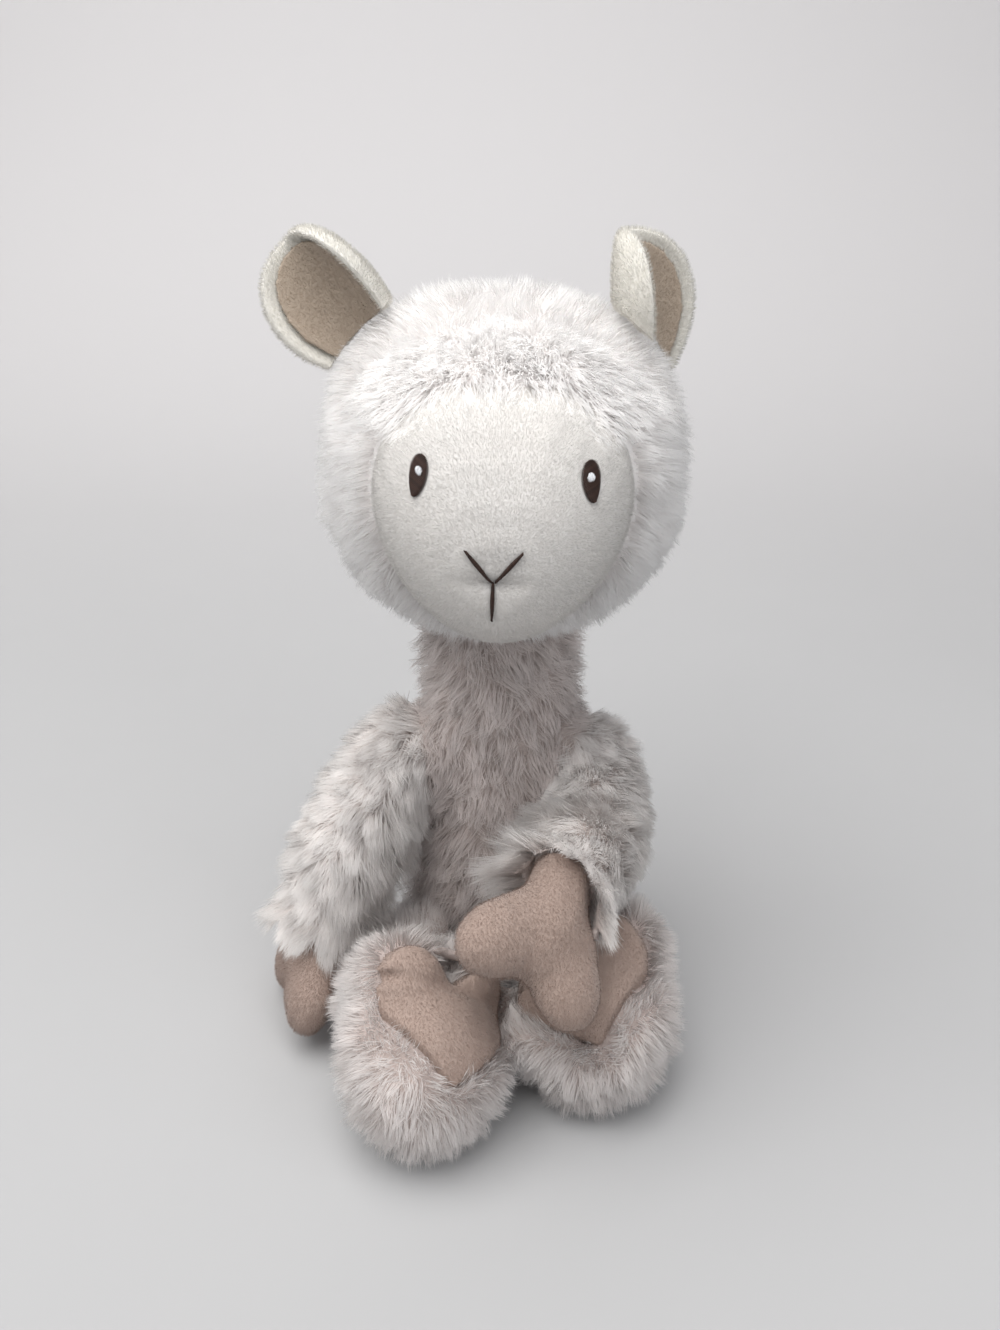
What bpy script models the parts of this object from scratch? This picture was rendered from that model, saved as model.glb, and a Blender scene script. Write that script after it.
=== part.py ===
"""A seated plush llama: shaggy hood, smooth face, cupped ears and heart-shaped soles.

Units are metres and degrees, +Z is up, and the toy faces -Y. It sits with the centre of
its flat seat at the origin. Every sewn panel is a closed solid of its own, which seats
on its neighbour with a thin seam gap.
"""

import math

import bmesh
import bpy
from mathutils import Matrix, Vector, noise
from mathutils.bvhtree import BVHTree

# Seams and pile
SEAM_GAP = 0.0004
PILE_RELIEF = 0.0015
CLUMP_SIZE = 0.0085
PANEL_RECESS = 0.0022

# Body: heights above the floor, and the width at each
SEAT_WIDTH = 0.052
HAUNCH_HEIGHT = 0.012
BELLY_HEIGHT = 0.036
BELLY_WIDTH = 0.068
WAIST_HEIGHT = 0.076
WAIST_WIDTH = 0.060
SHOULDER_HEIGHT = 0.102
CHEST_WIDTH = 0.060
NECK_HEIGHT = 0.132
NECK_WIDTH = 0.055
NECK_TOP = 0.160
BODY_DEPTH_RATIO = 0.90
HAUNCH_SHARE = 0.97
NECK_TOP_SHARE = 0.94

# Head: the hood is a ball of long pile, and the face an egg set into its front
HEAD_WIDTH = 0.115
HEAD_DEPTH = 0.104
HEAD_HEIGHT = 0.108
NECK_IN_HEAD = 0.0125
HEAD_FORWARD = 0.005
HEAD_ASIDE = 0.001
HEAD_TURN = -2.0
HEAD_ROLL = 2.0
HEAD_FULLNESS = 0.11
FRINGE_SWELL = 0.004
FRINGE_WIDTH = 0.009
FACE_WIDTH = 0.0765
FACE_ASIDE = 0.001
FACE_EGG = 0.13
FACE_HEIGHT = 0.077
FACE_DROP = 0.0015
FACE_FORWARD = 0.031
FACE_POCKET_DEPTH = 0.016
MUZZLE_REACH = 0.042
MUZZLE_DROP = 0.008
BROW_DIP = 0.0030
BROW_DIP_WIDTH = 0.20

# Embroidery on the face
STITCH_HEIGHT = 0.0009
EYE_SPACING = 0.0455
EYE_ASIDE = 0.0018
EYE_RAISE = 0.0155
EYE_WIDTH = 0.0054
EYE_HEIGHT = 0.0108
EYE_LEAN = 9.0
GLINT_DIAMETER = 0.0021
NOSE_WIDTH = 0.0150
NOSE_HEIGHT = 0.0085
NOSE_DROP = 0.0100
MOUTH_LENGTH = 0.0110
STITCH_WIDTH = 0.0015

# Ears: a leaf of cloth, rolled up lengthwise and sewn to the hood at its gathered base
EAR_LENGTH = 0.044
EAR_INNER_SPAN = 0.029
EAR_OUTER_SPAN = 0.023
EAR_BASE_SHARE = 0.62
EAR_THICKNESS = 0.0046
EAR_INNER_CURL = 125.0
EAR_OUTER_CURL = 62.0
EAR_ROOT_DEPTH = 0.007
LINING_THICKNESS = 0.0010
LINING_SHARE = 0.80
LINING_REACH = 0.90
EAR_TIP_SHARE = 0.996
EAR_EDGE_SHARE = 0.72
LINING_START = 0.06

# Each ear: its root on the head, the way it points and the way it opens
EAR_PLACES = {
    "left": ((-0.043, 0.010, 0.036), (-0.70, 0.10, 0.72), (-0.05, -0.95, 0.10)),
    "right": ((0.0385, 0.010, 0.033), (-0.08, 0.12, 0.98), (0.70, -0.70, 0.05)),
}

# Arms: tubes of long pile that end in a ragged cuff
ARM_LENGTH = 0.082
ARM_WIDTH = 0.036
CUFF_WIDTH = 0.041
CUFF_TUFT = 0.0055
CUFF_MOUTH_SHARE = 0.34
SHOULDER_SHARE = 0.72
SHOULDER_SINK = 0.006

# Hooves at the ends of the arms: a wrist, a palm and two splayed toes
HOOF_LENGTH = 0.043
HOOF_THICKNESS = 0.021
TOE_WIDTH = 0.025
WRIST_WIDTH = 0.025
WRIST_IN_CUFF = 0.012
PALM_PLACE = 0.34
PALM_WIDTH_SHARE = 1.6
PALM_LENGTH_SHARE = 0.72
TOE_LENGTH_SHARE = 0.80
TOE_ROOT = 0.18
TOE_THICKNESS_SHARE = 0.92

# Each arm: the way each quarter of it runs, how its hoof lies along and across, and how
# far the hoof's two toes splay
ARM_PLACES = {
    "left": (((-0.72, -0.33, -0.61), (-0.52, -0.45, -0.72),
              (-0.42, -0.42, -0.80), (-0.28, -0.25, -0.93)),
             (-0.30, -0.30, -0.90), (0.30, -0.92, 0.20), (36.0, 36.0)),
    "right": (((0.40, -0.62, -0.68), (0.05, -0.93, -0.36),
               (-0.30, -0.95, 0.03), (-0.45, -0.90, 0.0)),
              (-0.30, -0.83, -0.47), (0.81, 0.05, -0.59), (47.0, 36.0)),
}

# Legs: thighs out to the knees, and big round feet that come together in front
HIP_SPREAD = 0.036
HIP_FORWARD = 0.010
THIGH_WIDTH = 0.036
KNEE_SPREAD = 0.092
KNEE_FORWARD = 0.042
FOOT_LENGTH = 0.072
FOOT_WIDTH = 0.060
FOOT_THICKNESS = 0.054
HEEL_BACK = 0.07
HEEL_LENGTH_SHARE = 0.86
LOBE_SPREAD = 0.19
LOBE_FORWARD = 0.25
LOBE_WIDTH_SHARE = 0.56
LOBE_LENGTH_SHARE = 0.52
LOBE_THICKNESS_SHARE = 0.82

# Each foot: how far it lies forward and aside, then its turn, rise and roll
FOOT_PLACES = {
    "left": (0.0810, 0.0248, 3.0, 33.0, 39.0),
    "right": (0.0612, 0.0315, 6.0, 24.0, 22.0),
}

# Soles: heart-shaped panels let into the pile
SOLE_WIDTH = 0.0500
SOLE_LENGTH = 0.0440
SOLE_DEPTH = 0.019
CREASE_WIDTH = 0.0040
CREASE_DEPTH = 0.0018
CREASE_PLACE = 0.22
HEART_MIDDLE = 0.086
HEART_SLIMNESS = 1.85
HEART_TOP = 0.38
HEART_BRIDGE = 0.6

# Each heart: how far it lies aside and towards the toes, then its turn on the sole
SOLE_PLACES = {
    "left": (-0.0020, 0.0032, -7.6),
    "right": (0.0022, -0.0021, 20.6),
}

# Tail: one tuft at the foot of the back
TAIL_LENGTH = 0.024
TAIL_WIDTH = 0.017
TAIL_HEIGHT = 0.030
TAIL_SINK = 0.004
TAIL_NECK_SHARE = 0.62
TAIL_SWELL = 0.45

SIDES = (("left", -1), ("right", 1))

# Mesh fineness
VOXEL = 0.0022
WELD = 0.00003
MIN_SLIVER = 0.000004

FINISHES = {
    "long_pile": ((0.86, 0.83, 0.80, 1.0), 0.95),
    "hood_pile": ((0.90, 0.89, 0.87, 1.0), 0.95),
    "face_plush": ((0.84, 0.81, 0.77, 1.0), 0.90),
    "ear_plush": ((0.88, 0.84, 0.76, 1.0), 0.90),
    "ear_lining": ((0.62, 0.52, 0.42, 1.0), 0.88),
    "hoof_plush": ((0.62, 0.49, 0.43, 1.0), 0.88),
    "dark_thread": ((0.045, 0.022, 0.016, 1.0), 0.55),
    "white_thread": ((0.85, 0.86, 0.88, 1.0), 0.50),
}


def finish(name):
    """Return the named finish as a material."""
    material = bpy.data.materials.get(name)
    if material is None:
        colour, roughness = FINISHES[name]
        material = bpy.data.materials.new(name)
        material.use_nodes = True
        shader = material.node_tree.nodes["Principled BSDF"]
        shader.inputs["Base Color"].default_value = colour
        shader.inputs["Roughness"].default_value = roughness
        shader.inputs["Metallic"].default_value = 0.0
        material.diffuse_color = colour
    return material


def new_piece(name, shape, finish_name):
    """Turn a bmesh into an object of triangles that point out."""
    bmesh.ops.recalc_face_normals(shape, faces=shape.faces)
    bmesh.ops.triangulate(shape, faces=shape.faces)
    mesh = bpy.data.meshes.new(name)
    shape.to_mesh(mesh)
    shape.free()
    mesh.shade_smooth()
    piece = bpy.data.objects.new(name, mesh)
    piece.data.materials.append(finish(finish_name))
    bpy.context.scene.collection.objects.link(piece)
    return piece


def remove(piece):
    """Delete an object and its mesh."""
    mesh = piece.data
    bpy.data.objects.remove(piece)
    bpy.data.meshes.remove(mesh)


def apply_modifiers(piece):
    """Replace the piece's mesh by what its modifiers make of it."""
    bpy.context.view_layer.update()
    evaluated = piece.evaluated_get(bpy.context.evaluated_depsgraph_get())
    mesh = bpy.data.meshes.new_from_object(evaluated)
    old_mesh = piece.data
    piece.modifiers.clear()
    piece.data = mesh
    bpy.data.meshes.remove(old_mesh)
    mesh.name = piece.name
    mesh.shade_smooth()


def loft(rings):
    """Skin a row of closed rings, and close both ends with a fan of triangles."""
    shape = bmesh.new()
    loops = [[shape.verts.new(point) for point in ring] for ring in rings]
    for low, high in zip(loops, loops[1:]):
        count = len(low)
        for index in range(count):
            after = (index + 1) % count
            shape.faces.new((low[index], low[after], high[after], high[index]))
    for loop in (loops[0], loops[-1]):
        middle = sum((vert.co for vert in loop), Vector()) / len(loop)
        hub = shape.verts.new(middle)
        for index, vert in enumerate(loop):
            shape.faces.new((vert, loop[(index + 1) % len(loop)], hub))
    return shape


def ball(centre, half_sizes, axes=Matrix.Identity(3), cuts=8, fullness=0.0):
    """Return an even-meshed ellipsoid, which fullness swells at its diagonals."""
    shape = bmesh.new()
    bmesh.ops.create_cube(shape, size=2.0)
    bmesh.ops.subdivide_edges(shape, edges=shape.edges, cuts=cuts, use_grid_fill=True)
    for vert in shape.verts:
        x, y, z = vert.co
        even = Vector((
            x * math.sqrt(1 - y * y / 2 - z * z / 2 + y * y * z * z / 3),
            y * math.sqrt(1 - z * z / 2 - x * x / 2 + z * z * x * x / 3),
            z * math.sqrt(1 - x * x / 2 - y * y / 2 + x * x * y * y / 3),
        ))
        even *= 1 + fullness * abs(even.x * even.z)
        scaled = Vector(side * half for side, half in zip(even, half_sizes))
        vert.co = centre + axes @ scaled
    return shape


def smooth_path(points, steps):
    """Run a Catmull-Rom curve through the points, with so many steps a span."""
    ends = [2 * points[0] - points[1], *points, 2 * points[-1] - points[-2]]
    curve = []
    for a, b, c, d in zip(ends, ends[1:], ends[2:], ends[3:]):
        for step in range(steps):
            t = step / steps
            curve.append(0.5 * (2 * b + (c - a) * t + (2 * a - 5 * b + 4 * c - d) * t ** 2
                                + (3 * b - a - 3 * c + d) * t ** 3))
    curve.append(points[-1].copy())
    return curve


def path_axes(path, side):
    """Return a tangent and two cross axes at each point, kept from twisting."""
    frames = []
    for index in range(len(path)):
        ahead = path[min(index + 1, len(path) - 1)]
        behind = path[max(index - 1, 0)]
        along = (ahead - behind).normalized()
        side = (side - along * side.dot(along)).normalized()
        frames.append((along, side, along.cross(side)))
    return frames


def tube(path, radii, segments, side=Vector((1, 0, 0))):
    """Return a tube along a path with a radius at each point."""
    rings = []
    for point, radius, (_, across, over) in zip(path, radii, path_axes(path, side)):
        angles = [math.tau * index / segments for index in range(segments)]
        rings.append([point + radius * (math.cos(a) * across + math.sin(a) * over)
                      for a in angles])
    return loft(rings)


def fuse(name, shapes, finish_name, triangles, smoothing=6):
    """Join overlapping forms into one soft skin of about so many triangles."""
    joined = bmesh.new()
    for shape in shapes:
        bmesh.ops.recalc_face_normals(shape, faces=shape.faces)
        mesh = bpy.data.meshes.new(name)
        shape.to_mesh(mesh)
        shape.free()
        joined.from_mesh(mesh)
        bpy.data.meshes.remove(mesh)
    piece = new_piece(name, joined, finish_name)
    remesh = piece.modifiers.new("skin", "REMESH")
    remesh.mode = "VOXEL"
    remesh.voxel_size = VOXEL
    soften = piece.modifiers.new("soften", "SMOOTH")
    soften.iterations = smoothing
    apply_modifiers(piece)
    thin = piece.modifiers.new("thin", "DECIMATE")
    quads = len(piece.data.polygons)
    thin.ratio = min(1.0, triangles / (2 * quads))
    apply_modifiers(piece)
    return piece


def raise_clumps(piece, relief=PILE_RELIEF):
    """Push the skin in and out so that the long pile stands in clumps."""
    shape = bmesh.new()
    shape.from_mesh(piece.data)
    shape.normal_update()
    moves = [vert.normal * relief * noise.noise(vert.co / CLUMP_SIZE) * 2
             for vert in shape.verts]
    for vert, move in zip(shape.verts, moves):
        vert.co += move
    shape.to_mesh(piece.data)
    shape.free()


def keep_largest_body(shape):
    """Delete every loose crumb and keep the body with the most faces."""
    unseen = set(shape.faces)
    bodies = []
    while unseen:
        front = [unseen.pop()]
        body = list(front)
        while front:
            face = front.pop()
            for edge in face.edges:
                for other in edge.link_faces:
                    if other in unseen:
                        unseen.remove(other)
                        front.append(other)
                        body.append(other)
        bodies.append(body)
    bodies.sort(key=lambda body: -sum(face.calc_area() for face in body))
    for crumb in bodies[1:]:
        bmesh.ops.delete(shape, geom=crumb, context="FACES")
    loose = [vert for vert in shape.verts if not vert.link_faces]
    bmesh.ops.delete(shape, geom=loose, context="VERTS")


def collapse_short_edges(shape):
    """Collapse each edge too short to keep, wherever the skin stays closed without it."""
    short = sorted((edge for edge in shape.edges if edge.calc_length() < WELD),
                   key=lambda edge: edge.calc_length())
    for edge in short:
        if not edge.is_valid:
            continue
        first, second = edge.verts
        shared = ({link.other_vert(first) for link in first.link_edges}
                  & {link.other_vert(second) for link in second.link_edges})
        if len(shared) == 2:
            bmesh.ops.pointmerge(shape, verts=[first, second],
                                 merge_co=(first.co + second.co) / 2)


def turn_thin_triangles(shape):
    """Turn the long side of each triangle too thin to keep across its neighbour."""
    for face in list(shape.faces):
        if not face.is_valid:
            continue
        longest = max(face.edges, key=lambda edge: edge.calc_length())
        if 2 * face.calc_area() < MIN_SLIVER * longest.calc_length():
            bmesh.utils.edge_rotate(longest)


def clean(piece):
    """Mend what a cut leaves too short or too thin, and keep one closed body."""
    shape = bmesh.new()
    shape.from_mesh(piece.data)
    bmesh.ops.triangulate(shape, faces=shape.faces)
    for _ in range(3):
        collapse_short_edges(shape)
        turn_thin_triangles(shape)
    keep_largest_body(shape)
    shape.to_mesh(piece.data)
    shape.free()
    piece.data.shade_smooth()


def grown(piece, gap=SEAM_GAP):
    """Return a copy of the piece that stands the gap proud of it all round."""
    copy = piece.copy()
    copy.data = piece.data.copy()
    bpy.context.scene.collection.objects.link(copy)
    shape = bmesh.new()
    shape.from_mesh(copy.data)
    shape.normal_update()
    moves = [vert.normal * gap * min(vert.calc_shell_factor(), 2.0) for vert in shape.verts]
    for vert, move in zip(shape.verts, moves):
        vert.co += move
    shape.to_mesh(copy.data)
    shape.free()
    return copy


def combine(piece, cutter, operation):
    """Boolean the cutter into the piece, then drop the cutter."""
    cutter.hide_render = True
    cutter.display_type = "WIRE"
    boolean = piece.modifiers.new("seam", "BOOLEAN")
    boolean.operation = operation
    boolean.solver = "EXACT"
    boolean.use_self = True
    boolean.object = cutter
    apply_modifiers(piece)
    remove(cutter)
    clean(piece)


def seat(piece, *neighbours):
    """Cut the piece back from each neighbour, leaving the seam gap between them."""
    for neighbour in neighbours:
        combine(piece, grown(neighbour), "DIFFERENCE")


def rest_on_floor(piece):
    """Slice the piece flat where it would reach below the floor."""
    shape = bmesh.new()
    shape.from_mesh(piece.data)
    everything = [*shape.verts, *shape.edges, *shape.faces]
    bmesh.ops.bisect_plane(shape, geom=everything, dist=WELD, plane_co=(0, 0, 0),
                           plane_no=(0, 0, 1), clear_inner=True)
    rim = [edge for edge in shape.edges if edge.is_boundary]
    bmesh.ops.holes_fill(shape, edges=rim)
    shape.to_mesh(piece.data)
    shape.free()
    clean(piece)


# Body

def body_stations():
    """Return the height and width of each ring from the seat to the neck's top."""
    return (
        (0.0, SEAT_WIDTH),
        (HAUNCH_HEIGHT / 3, (SEAT_WIDTH + BELLY_WIDTH) / 2),
        (HAUNCH_HEIGHT, BELLY_WIDTH * HAUNCH_SHARE),
        (BELLY_HEIGHT, BELLY_WIDTH),
        ((BELLY_HEIGHT + WAIST_HEIGHT) / 2, (BELLY_WIDTH + WAIST_WIDTH) / 2),
        (WAIST_HEIGHT, WAIST_WIDTH),
        (SHOULDER_HEIGHT, CHEST_WIDTH),
        ((SHOULDER_HEIGHT + NECK_HEIGHT) / 2, (CHEST_WIDTH + NECK_WIDTH) / 2),
        (NECK_HEIGHT, NECK_WIDTH),
        (NECK_TOP, NECK_WIDTH * NECK_TOP_SHARE),
    )


def make_body(segments=24, rings_per_span=2):
    """Make the torso and neck: one stuffed tube of long pile, flat where it sits."""
    stations = [Vector((width / 2, 0, height)) for height, width in body_stations()]
    rings = []
    for station in smooth_path(stations, rings_per_span):
        angles = [math.tau * index / segments for index in range(segments)]
        rings.append([Vector((station.x * math.cos(a),
                              station.x * BODY_DEPTH_RATIO * math.sin(a), station.z))
                      for a in angles])
    piece = new_piece("body", loft(rings), "long_pile")
    raise_clumps(piece)
    for vert in piece.data.vertices:
        if vert.co.z < PILE_RELIEF:
            vert.co.z = 0.0
    return piece


def body_half_width(height):
    """Return the torso's half width at a height."""
    stations = body_stations()
    for (low, narrow), (high, wide) in zip(stations, stations[1:]):
        if height <= high:
            share = (height - low) / (high - low)
            return (narrow + (wide - narrow) * share) / 2
    return NECK_WIDTH / 2


# Head

def head_centre():
    """Return the middle of the hood, from the neck that carries it."""
    return Vector((HEAD_ASIDE, -HEAD_FORWARD, NECK_TOP - NECK_IN_HEAD + HEAD_HEIGHT / 2))


def head_axes():
    """Return the head's turn and tilt as a matrix."""
    turn = Matrix.Rotation(math.radians(HEAD_TURN), 3, "Z")
    roll = Matrix.Rotation(math.radians(HEAD_ROLL), 3, "Y")
    return turn @ roll


def on_head(x, y, z):
    """Return the world point of a place given from the head's own centre."""
    return head_centre() + head_axes() @ Vector((x, y, z))


def make_face(rings=13, segments=26):
    """Make the face: an egg whose muzzle reaches forward and sags a little."""
    loops = []
    for ring in range(1, rings):
        angle = math.pi * ring / rings
        reach = math.cos(angle)
        if reach > 0:
            y = -FACE_FORWARD + FACE_POCKET_DEPTH * reach
            sag = 0.0
        else:
            y = -FACE_FORWARD + MUZZLE_REACH * reach
            sag = MUZZLE_DROP * reach * reach
        size = math.sin(angle) ** 0.92
        loops.append([face_ring_point(index / segments, y, sag, size)
                      for index in range(segments)])
    return new_piece("face", loft(loops), "face_plush")


def face_ring_point(share, y, sag, size):
    """Return one point of a face ring, which dips at the middle of the brow."""
    angle = math.tau * share
    from_top = (angle - math.pi / 2) / BROW_DIP_WIDTH
    dip = BROW_DIP * math.exp(-from_top * from_top) * size
    egg = 1 + FACE_EGG * math.sin(angle)
    x = FACE_WIDTH / 2 * size * math.cos(angle) * egg
    z = FACE_HEIGHT / 2 * size * math.sin(angle) - dip
    return on_head(x + FACE_ASIDE, y, z - FACE_DROP - sag)


def fringe_height(place):
    """Return how far the pile swells round the face opening, at a place on the head."""
    if place.y > 0:
        return 0.0
    x = (place.x - FACE_ASIDE) / (FACE_WIDTH / 2)
    z = (place.z + FACE_DROP) / (FACE_HEIGHT / 2)
    off_rim = (math.hypot(x, z) - 1) * FACE_WIDTH / 2 - FRINGE_WIDTH / 2
    return FRINGE_SWELL * math.exp(-(off_rim / FRINGE_WIDTH) ** 2)


def make_hood(body, face, cuts=9):
    """Make the hood: a ball of long pile with a pocket for the face and the neck."""
    half_sizes = (HEAD_WIDTH / 2, HEAD_DEPTH / 2, HEAD_HEIGHT / 2)
    shape = ball(head_centre(), half_sizes, head_axes(), cuts, HEAD_FULLNESS)
    to_head = head_axes().inverted()
    for vert in shape.verts:
        place = to_head @ (vert.co - head_centre())
        place.y -= fringe_height(place)
        vert.co = on_head(*place)
    piece = new_piece("head_hood", shape, "hood_pile")
    raise_clumps(piece)
    seat(piece, face, body)
    return piece


# Embroidery

def skin_tree(piece):
    """Return a search tree of the piece's skin."""
    return BVHTree.FromPolygons([vert.co for vert in piece.data.vertices],
                                [face.vertices for face in piece.data.polygons])


def on_skin(tree, x, z, height):
    """Return the point so far proud of the skin, seen from the front of the head."""
    start = on_head(x, -HEAD_DEPTH * 2, z)
    ahead = head_axes() @ Vector((0, 1, 0))
    hit, normal, _, _ = tree.ray_cast(start, ahead)
    return hit + normal.normalized() * height


def stitch_patch(name, tree, outline, finish_name, rise, lift=SEAM_GAP):
    """Make a domed patch of satin stitch that follows the skin below it."""
    middle = sum((Vector(point) for point in outline), Vector((0, 0))) / len(outline)
    rings = []
    for share, height in ((0.35, 0.0), (0.75, 0.0), (1.0, 0.0), (1.0, 0.4), (0.75, 0.9), (0.35, 1.0)):
        spread = [middle + (Vector(point) - middle) * share for point in outline]
        rings.append([on_skin(tree, x, z, lift + rise * height) for x, z in spread])
    return new_piece(name, loft(rings), finish_name)


def stitch_line(name, tree, ends, bow, width, steps=6):
    """Make one raised line of stitches between two places on the skin."""
    start, stop = (Vector(end) for end in ends)
    across = (stop - start).orthogonal().normalized()
    rings = []
    for step in range(steps + 1):
        share = step / steps
        place = start.lerp(stop, share) + across * bow * 4 * share * (1 - share)
        half = width / 2 * (0.55 + 0.45 * math.sin(math.pi * share))
        left = place + across * half
        right = place - across * half
        top = SEAM_GAP + STITCH_HEIGHT
        rings.append([on_skin(tree, left.x, left.y, SEAM_GAP),
                      on_skin(tree, left.x, left.y, SEAM_GAP + STITCH_HEIGHT / 2),
                      on_skin(tree, place.x, place.y, top),
                      on_skin(tree, right.x, right.y, SEAM_GAP + STITCH_HEIGHT / 2),
                      on_skin(tree, right.x, right.y, SEAM_GAP)])
    return new_piece(name, loft(rings), "dark_thread")


def eye_outline(side, points=16):
    """Return the eye's outline: round above, pointed below and leaning inward."""
    lean = Matrix.Rotation(math.radians(EYE_LEAN) * side, 2)
    outline = []
    for index in range(points):
        angle = math.tau * index / points
        narrowing = 0.80 + 0.20 * math.cos(angle)
        offset = lean @ Vector((EYE_WIDTH / 2 * math.sin(angle) * narrowing,
                                EYE_HEIGHT / 2 * math.cos(angle)))
        outline.append((EYE_ASIDE + side * EYE_SPACING / 2 + offset.x, EYE_RAISE + offset.y))
    return outline


def make_eyes(face):
    """Make the two embroidered eyes and the white glint on each."""
    tree = skin_tree(face)
    for name, side in SIDES:
        eye = stitch_patch(f"eye_{name}", tree, eye_outline(side), "dark_thread", STITCH_HEIGHT)
        x = EYE_ASIDE + side * (EYE_SPACING / 2 - GLINT_DIAMETER * 0.35)
        z = EYE_RAISE + EYE_HEIGHT * 0.12
        glint = [(x + GLINT_DIAMETER / 2 * math.sin(math.tau * step / 8),
                  z + GLINT_DIAMETER / 2 * math.cos(math.tau * step / 8))
                 for step in range(8)]
        stitch_patch(f"eye_glint_{name}", skin_tree(eye), glint, "white_thread",
                     STITCH_HEIGHT * 0.6)


def make_nose_and_mouth(face):
    """Make the two nostril lines that meet in a point, and the mouth line below."""
    tree = skin_tree(face)
    low = -NOSE_DROP
    clear = STITCH_WIDTH * 0.9
    for name, side in SIDES:
        ends = ((side * NOSE_WIDTH / 2, low + NOSE_HEIGHT), (side * clear, low))
        stitch_line(f"nose_line_{name}", tree, ends, side * NOSE_WIDTH * 0.07, STITCH_WIDTH)
    ends = ((0, low - clear), (0, low - clear - MOUTH_LENGTH))
    stitch_line("mouth_line", tree, ends, 0.0, STITCH_WIDTH)


# Ears

def ear_share(along):
    """Return the share of its full width that the ear's cloth has along its length."""
    if along < 0.5:
        return EAR_BASE_SHARE + (1 - EAR_BASE_SHARE) * math.sin(math.pi * along)
    return math.sqrt(max(0.0, 1 - (2 * along - 1) ** 2)) ** 0.85


def ear_section(across, steps=12):
    """Return a place on the rolled cross-section, per unit of cloth width."""
    curl = math.radians(EAR_INNER_CURL if across < 0 else EAR_OUTER_CURL)
    span = EAR_INNER_SPAN if across < 0 else EAR_OUTER_SPAN
    wide = deep = 0.0
    for step in range(steps):
        share = (step + 0.5) / steps * abs(across)
        wide += math.cos(curl * share ** 1.15) / steps
        deep += math.sin(curl * share ** 1.15) / steps
    length = span * across
    return length * wide, span * abs(across) * deep, math.copysign(curl * abs(across) ** 1.15, across)


class Ear:
    """One ear's place on the hood and the directions it points and opens."""

    def __init__(self, name, side, root, along, opening):
        self.name = name
        self.side = side
        self.root = on_head(*root)
        self.along = Vector(along).normalized()
        opening = Vector(opening)
        self.opening = (opening - self.along * opening.dot(self.along)).normalized()
        self.outward = self.along.cross(self.opening) * side
        if self.outward.x * side < 0:
            self.outward.negate()

    def point(self, along, across, lift):
        """Return a point of the ear, lifted off the cloth towards the opening."""
        share = ear_share(along)
        wide, deep, angle = ear_section(across)
        base = (self.root + self.along * (EAR_LENGTH * along - EAR_ROOT_DEPTH)
                + self.outward * wide * share + self.opening * deep * share)
        facing = self.opening * math.cos(angle) - self.outward * math.sin(angle)
        return base + facing * lift


def ear_shell(ear, low, high, kept, start, stop, fill, rows=9, columns=11):
    """Return a closed sheet of the ear's cloth, between two lifts off its middle.

    It runs from the start to the stop along the ear, and fills that share of its width.
    Towards its edges it thins down to the lift that is kept.
    """
    shape = bmesh.new()
    layers = []
    for lift in (low, high):
        layer = []
        for row in range(rows + 1):
            way = math.sin(math.pi / 2 * row / rows)
            along = start + (stop - start) * way
            spread = fill * ear_share(min(way, EAR_TIP_SHARE)) / ear_share(along)
            line = []
            for column in range(columns + 1):
                aside = 2 * column / columns - 1
                edge = min(1.0, (1 - abs(aside)) * 4, (rows - row) / 2)
                raised = kept + (lift - kept) * (EAR_EDGE_SHARE + (1 - EAR_EDGE_SHARE) * edge)
                point = ear.point(along, aside * min(1.0, spread), raised)
                line.append(shape.verts.new(point))
            layer.append(line)
        layers.append(layer)
    back, front = layers
    for row in range(rows):
        for column in range(columns):
            for layer in layers:
                shape.faces.new((layer[row][column], layer[row][column + 1],
                                 layer[row + 1][column + 1], layer[row + 1][column]))
    rim = [(0, c) for c in range(columns)] + [(r, columns) for r in range(rows)]
    rim += [(rows, c) for c in range(columns, 0, -1)] + [(r, 0) for r in range(rows, 0, -1)]
    for (row, column), (row_after, column_after) in zip(rim, rim[1:] + rim[:1]):
        shape.faces.new((back[row][column], back[row_after][column_after],
                         front[row_after][column_after], front[row][column]))
    return shape


def make_ears(hood):
    """Make both ears and the tan lining inside each."""
    half = EAR_THICKNESS / 2
    for name, side in SIDES:
        ear = Ear(name, side, *EAR_PLACES[name])
        cloth = new_piece(f"ear_{ear.name}", ear_shell(ear, -half, half, 0.0, 0.0,
                                                       EAR_TIP_SHARE, 1.0),
                          "ear_plush")
        seat(cloth, hood)
        low = half + SEAM_GAP * 1.5
        sheet = ear_shell(ear, low, low + LINING_THICKNESS, low, LINING_START, LINING_REACH,
                          LINING_SHARE, rows=7, columns=9)
        lining = new_piece(f"ear_lining_{ear.name}", sheet, "ear_lining")
        seat(lining, hood)


# Legs and feet

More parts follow.
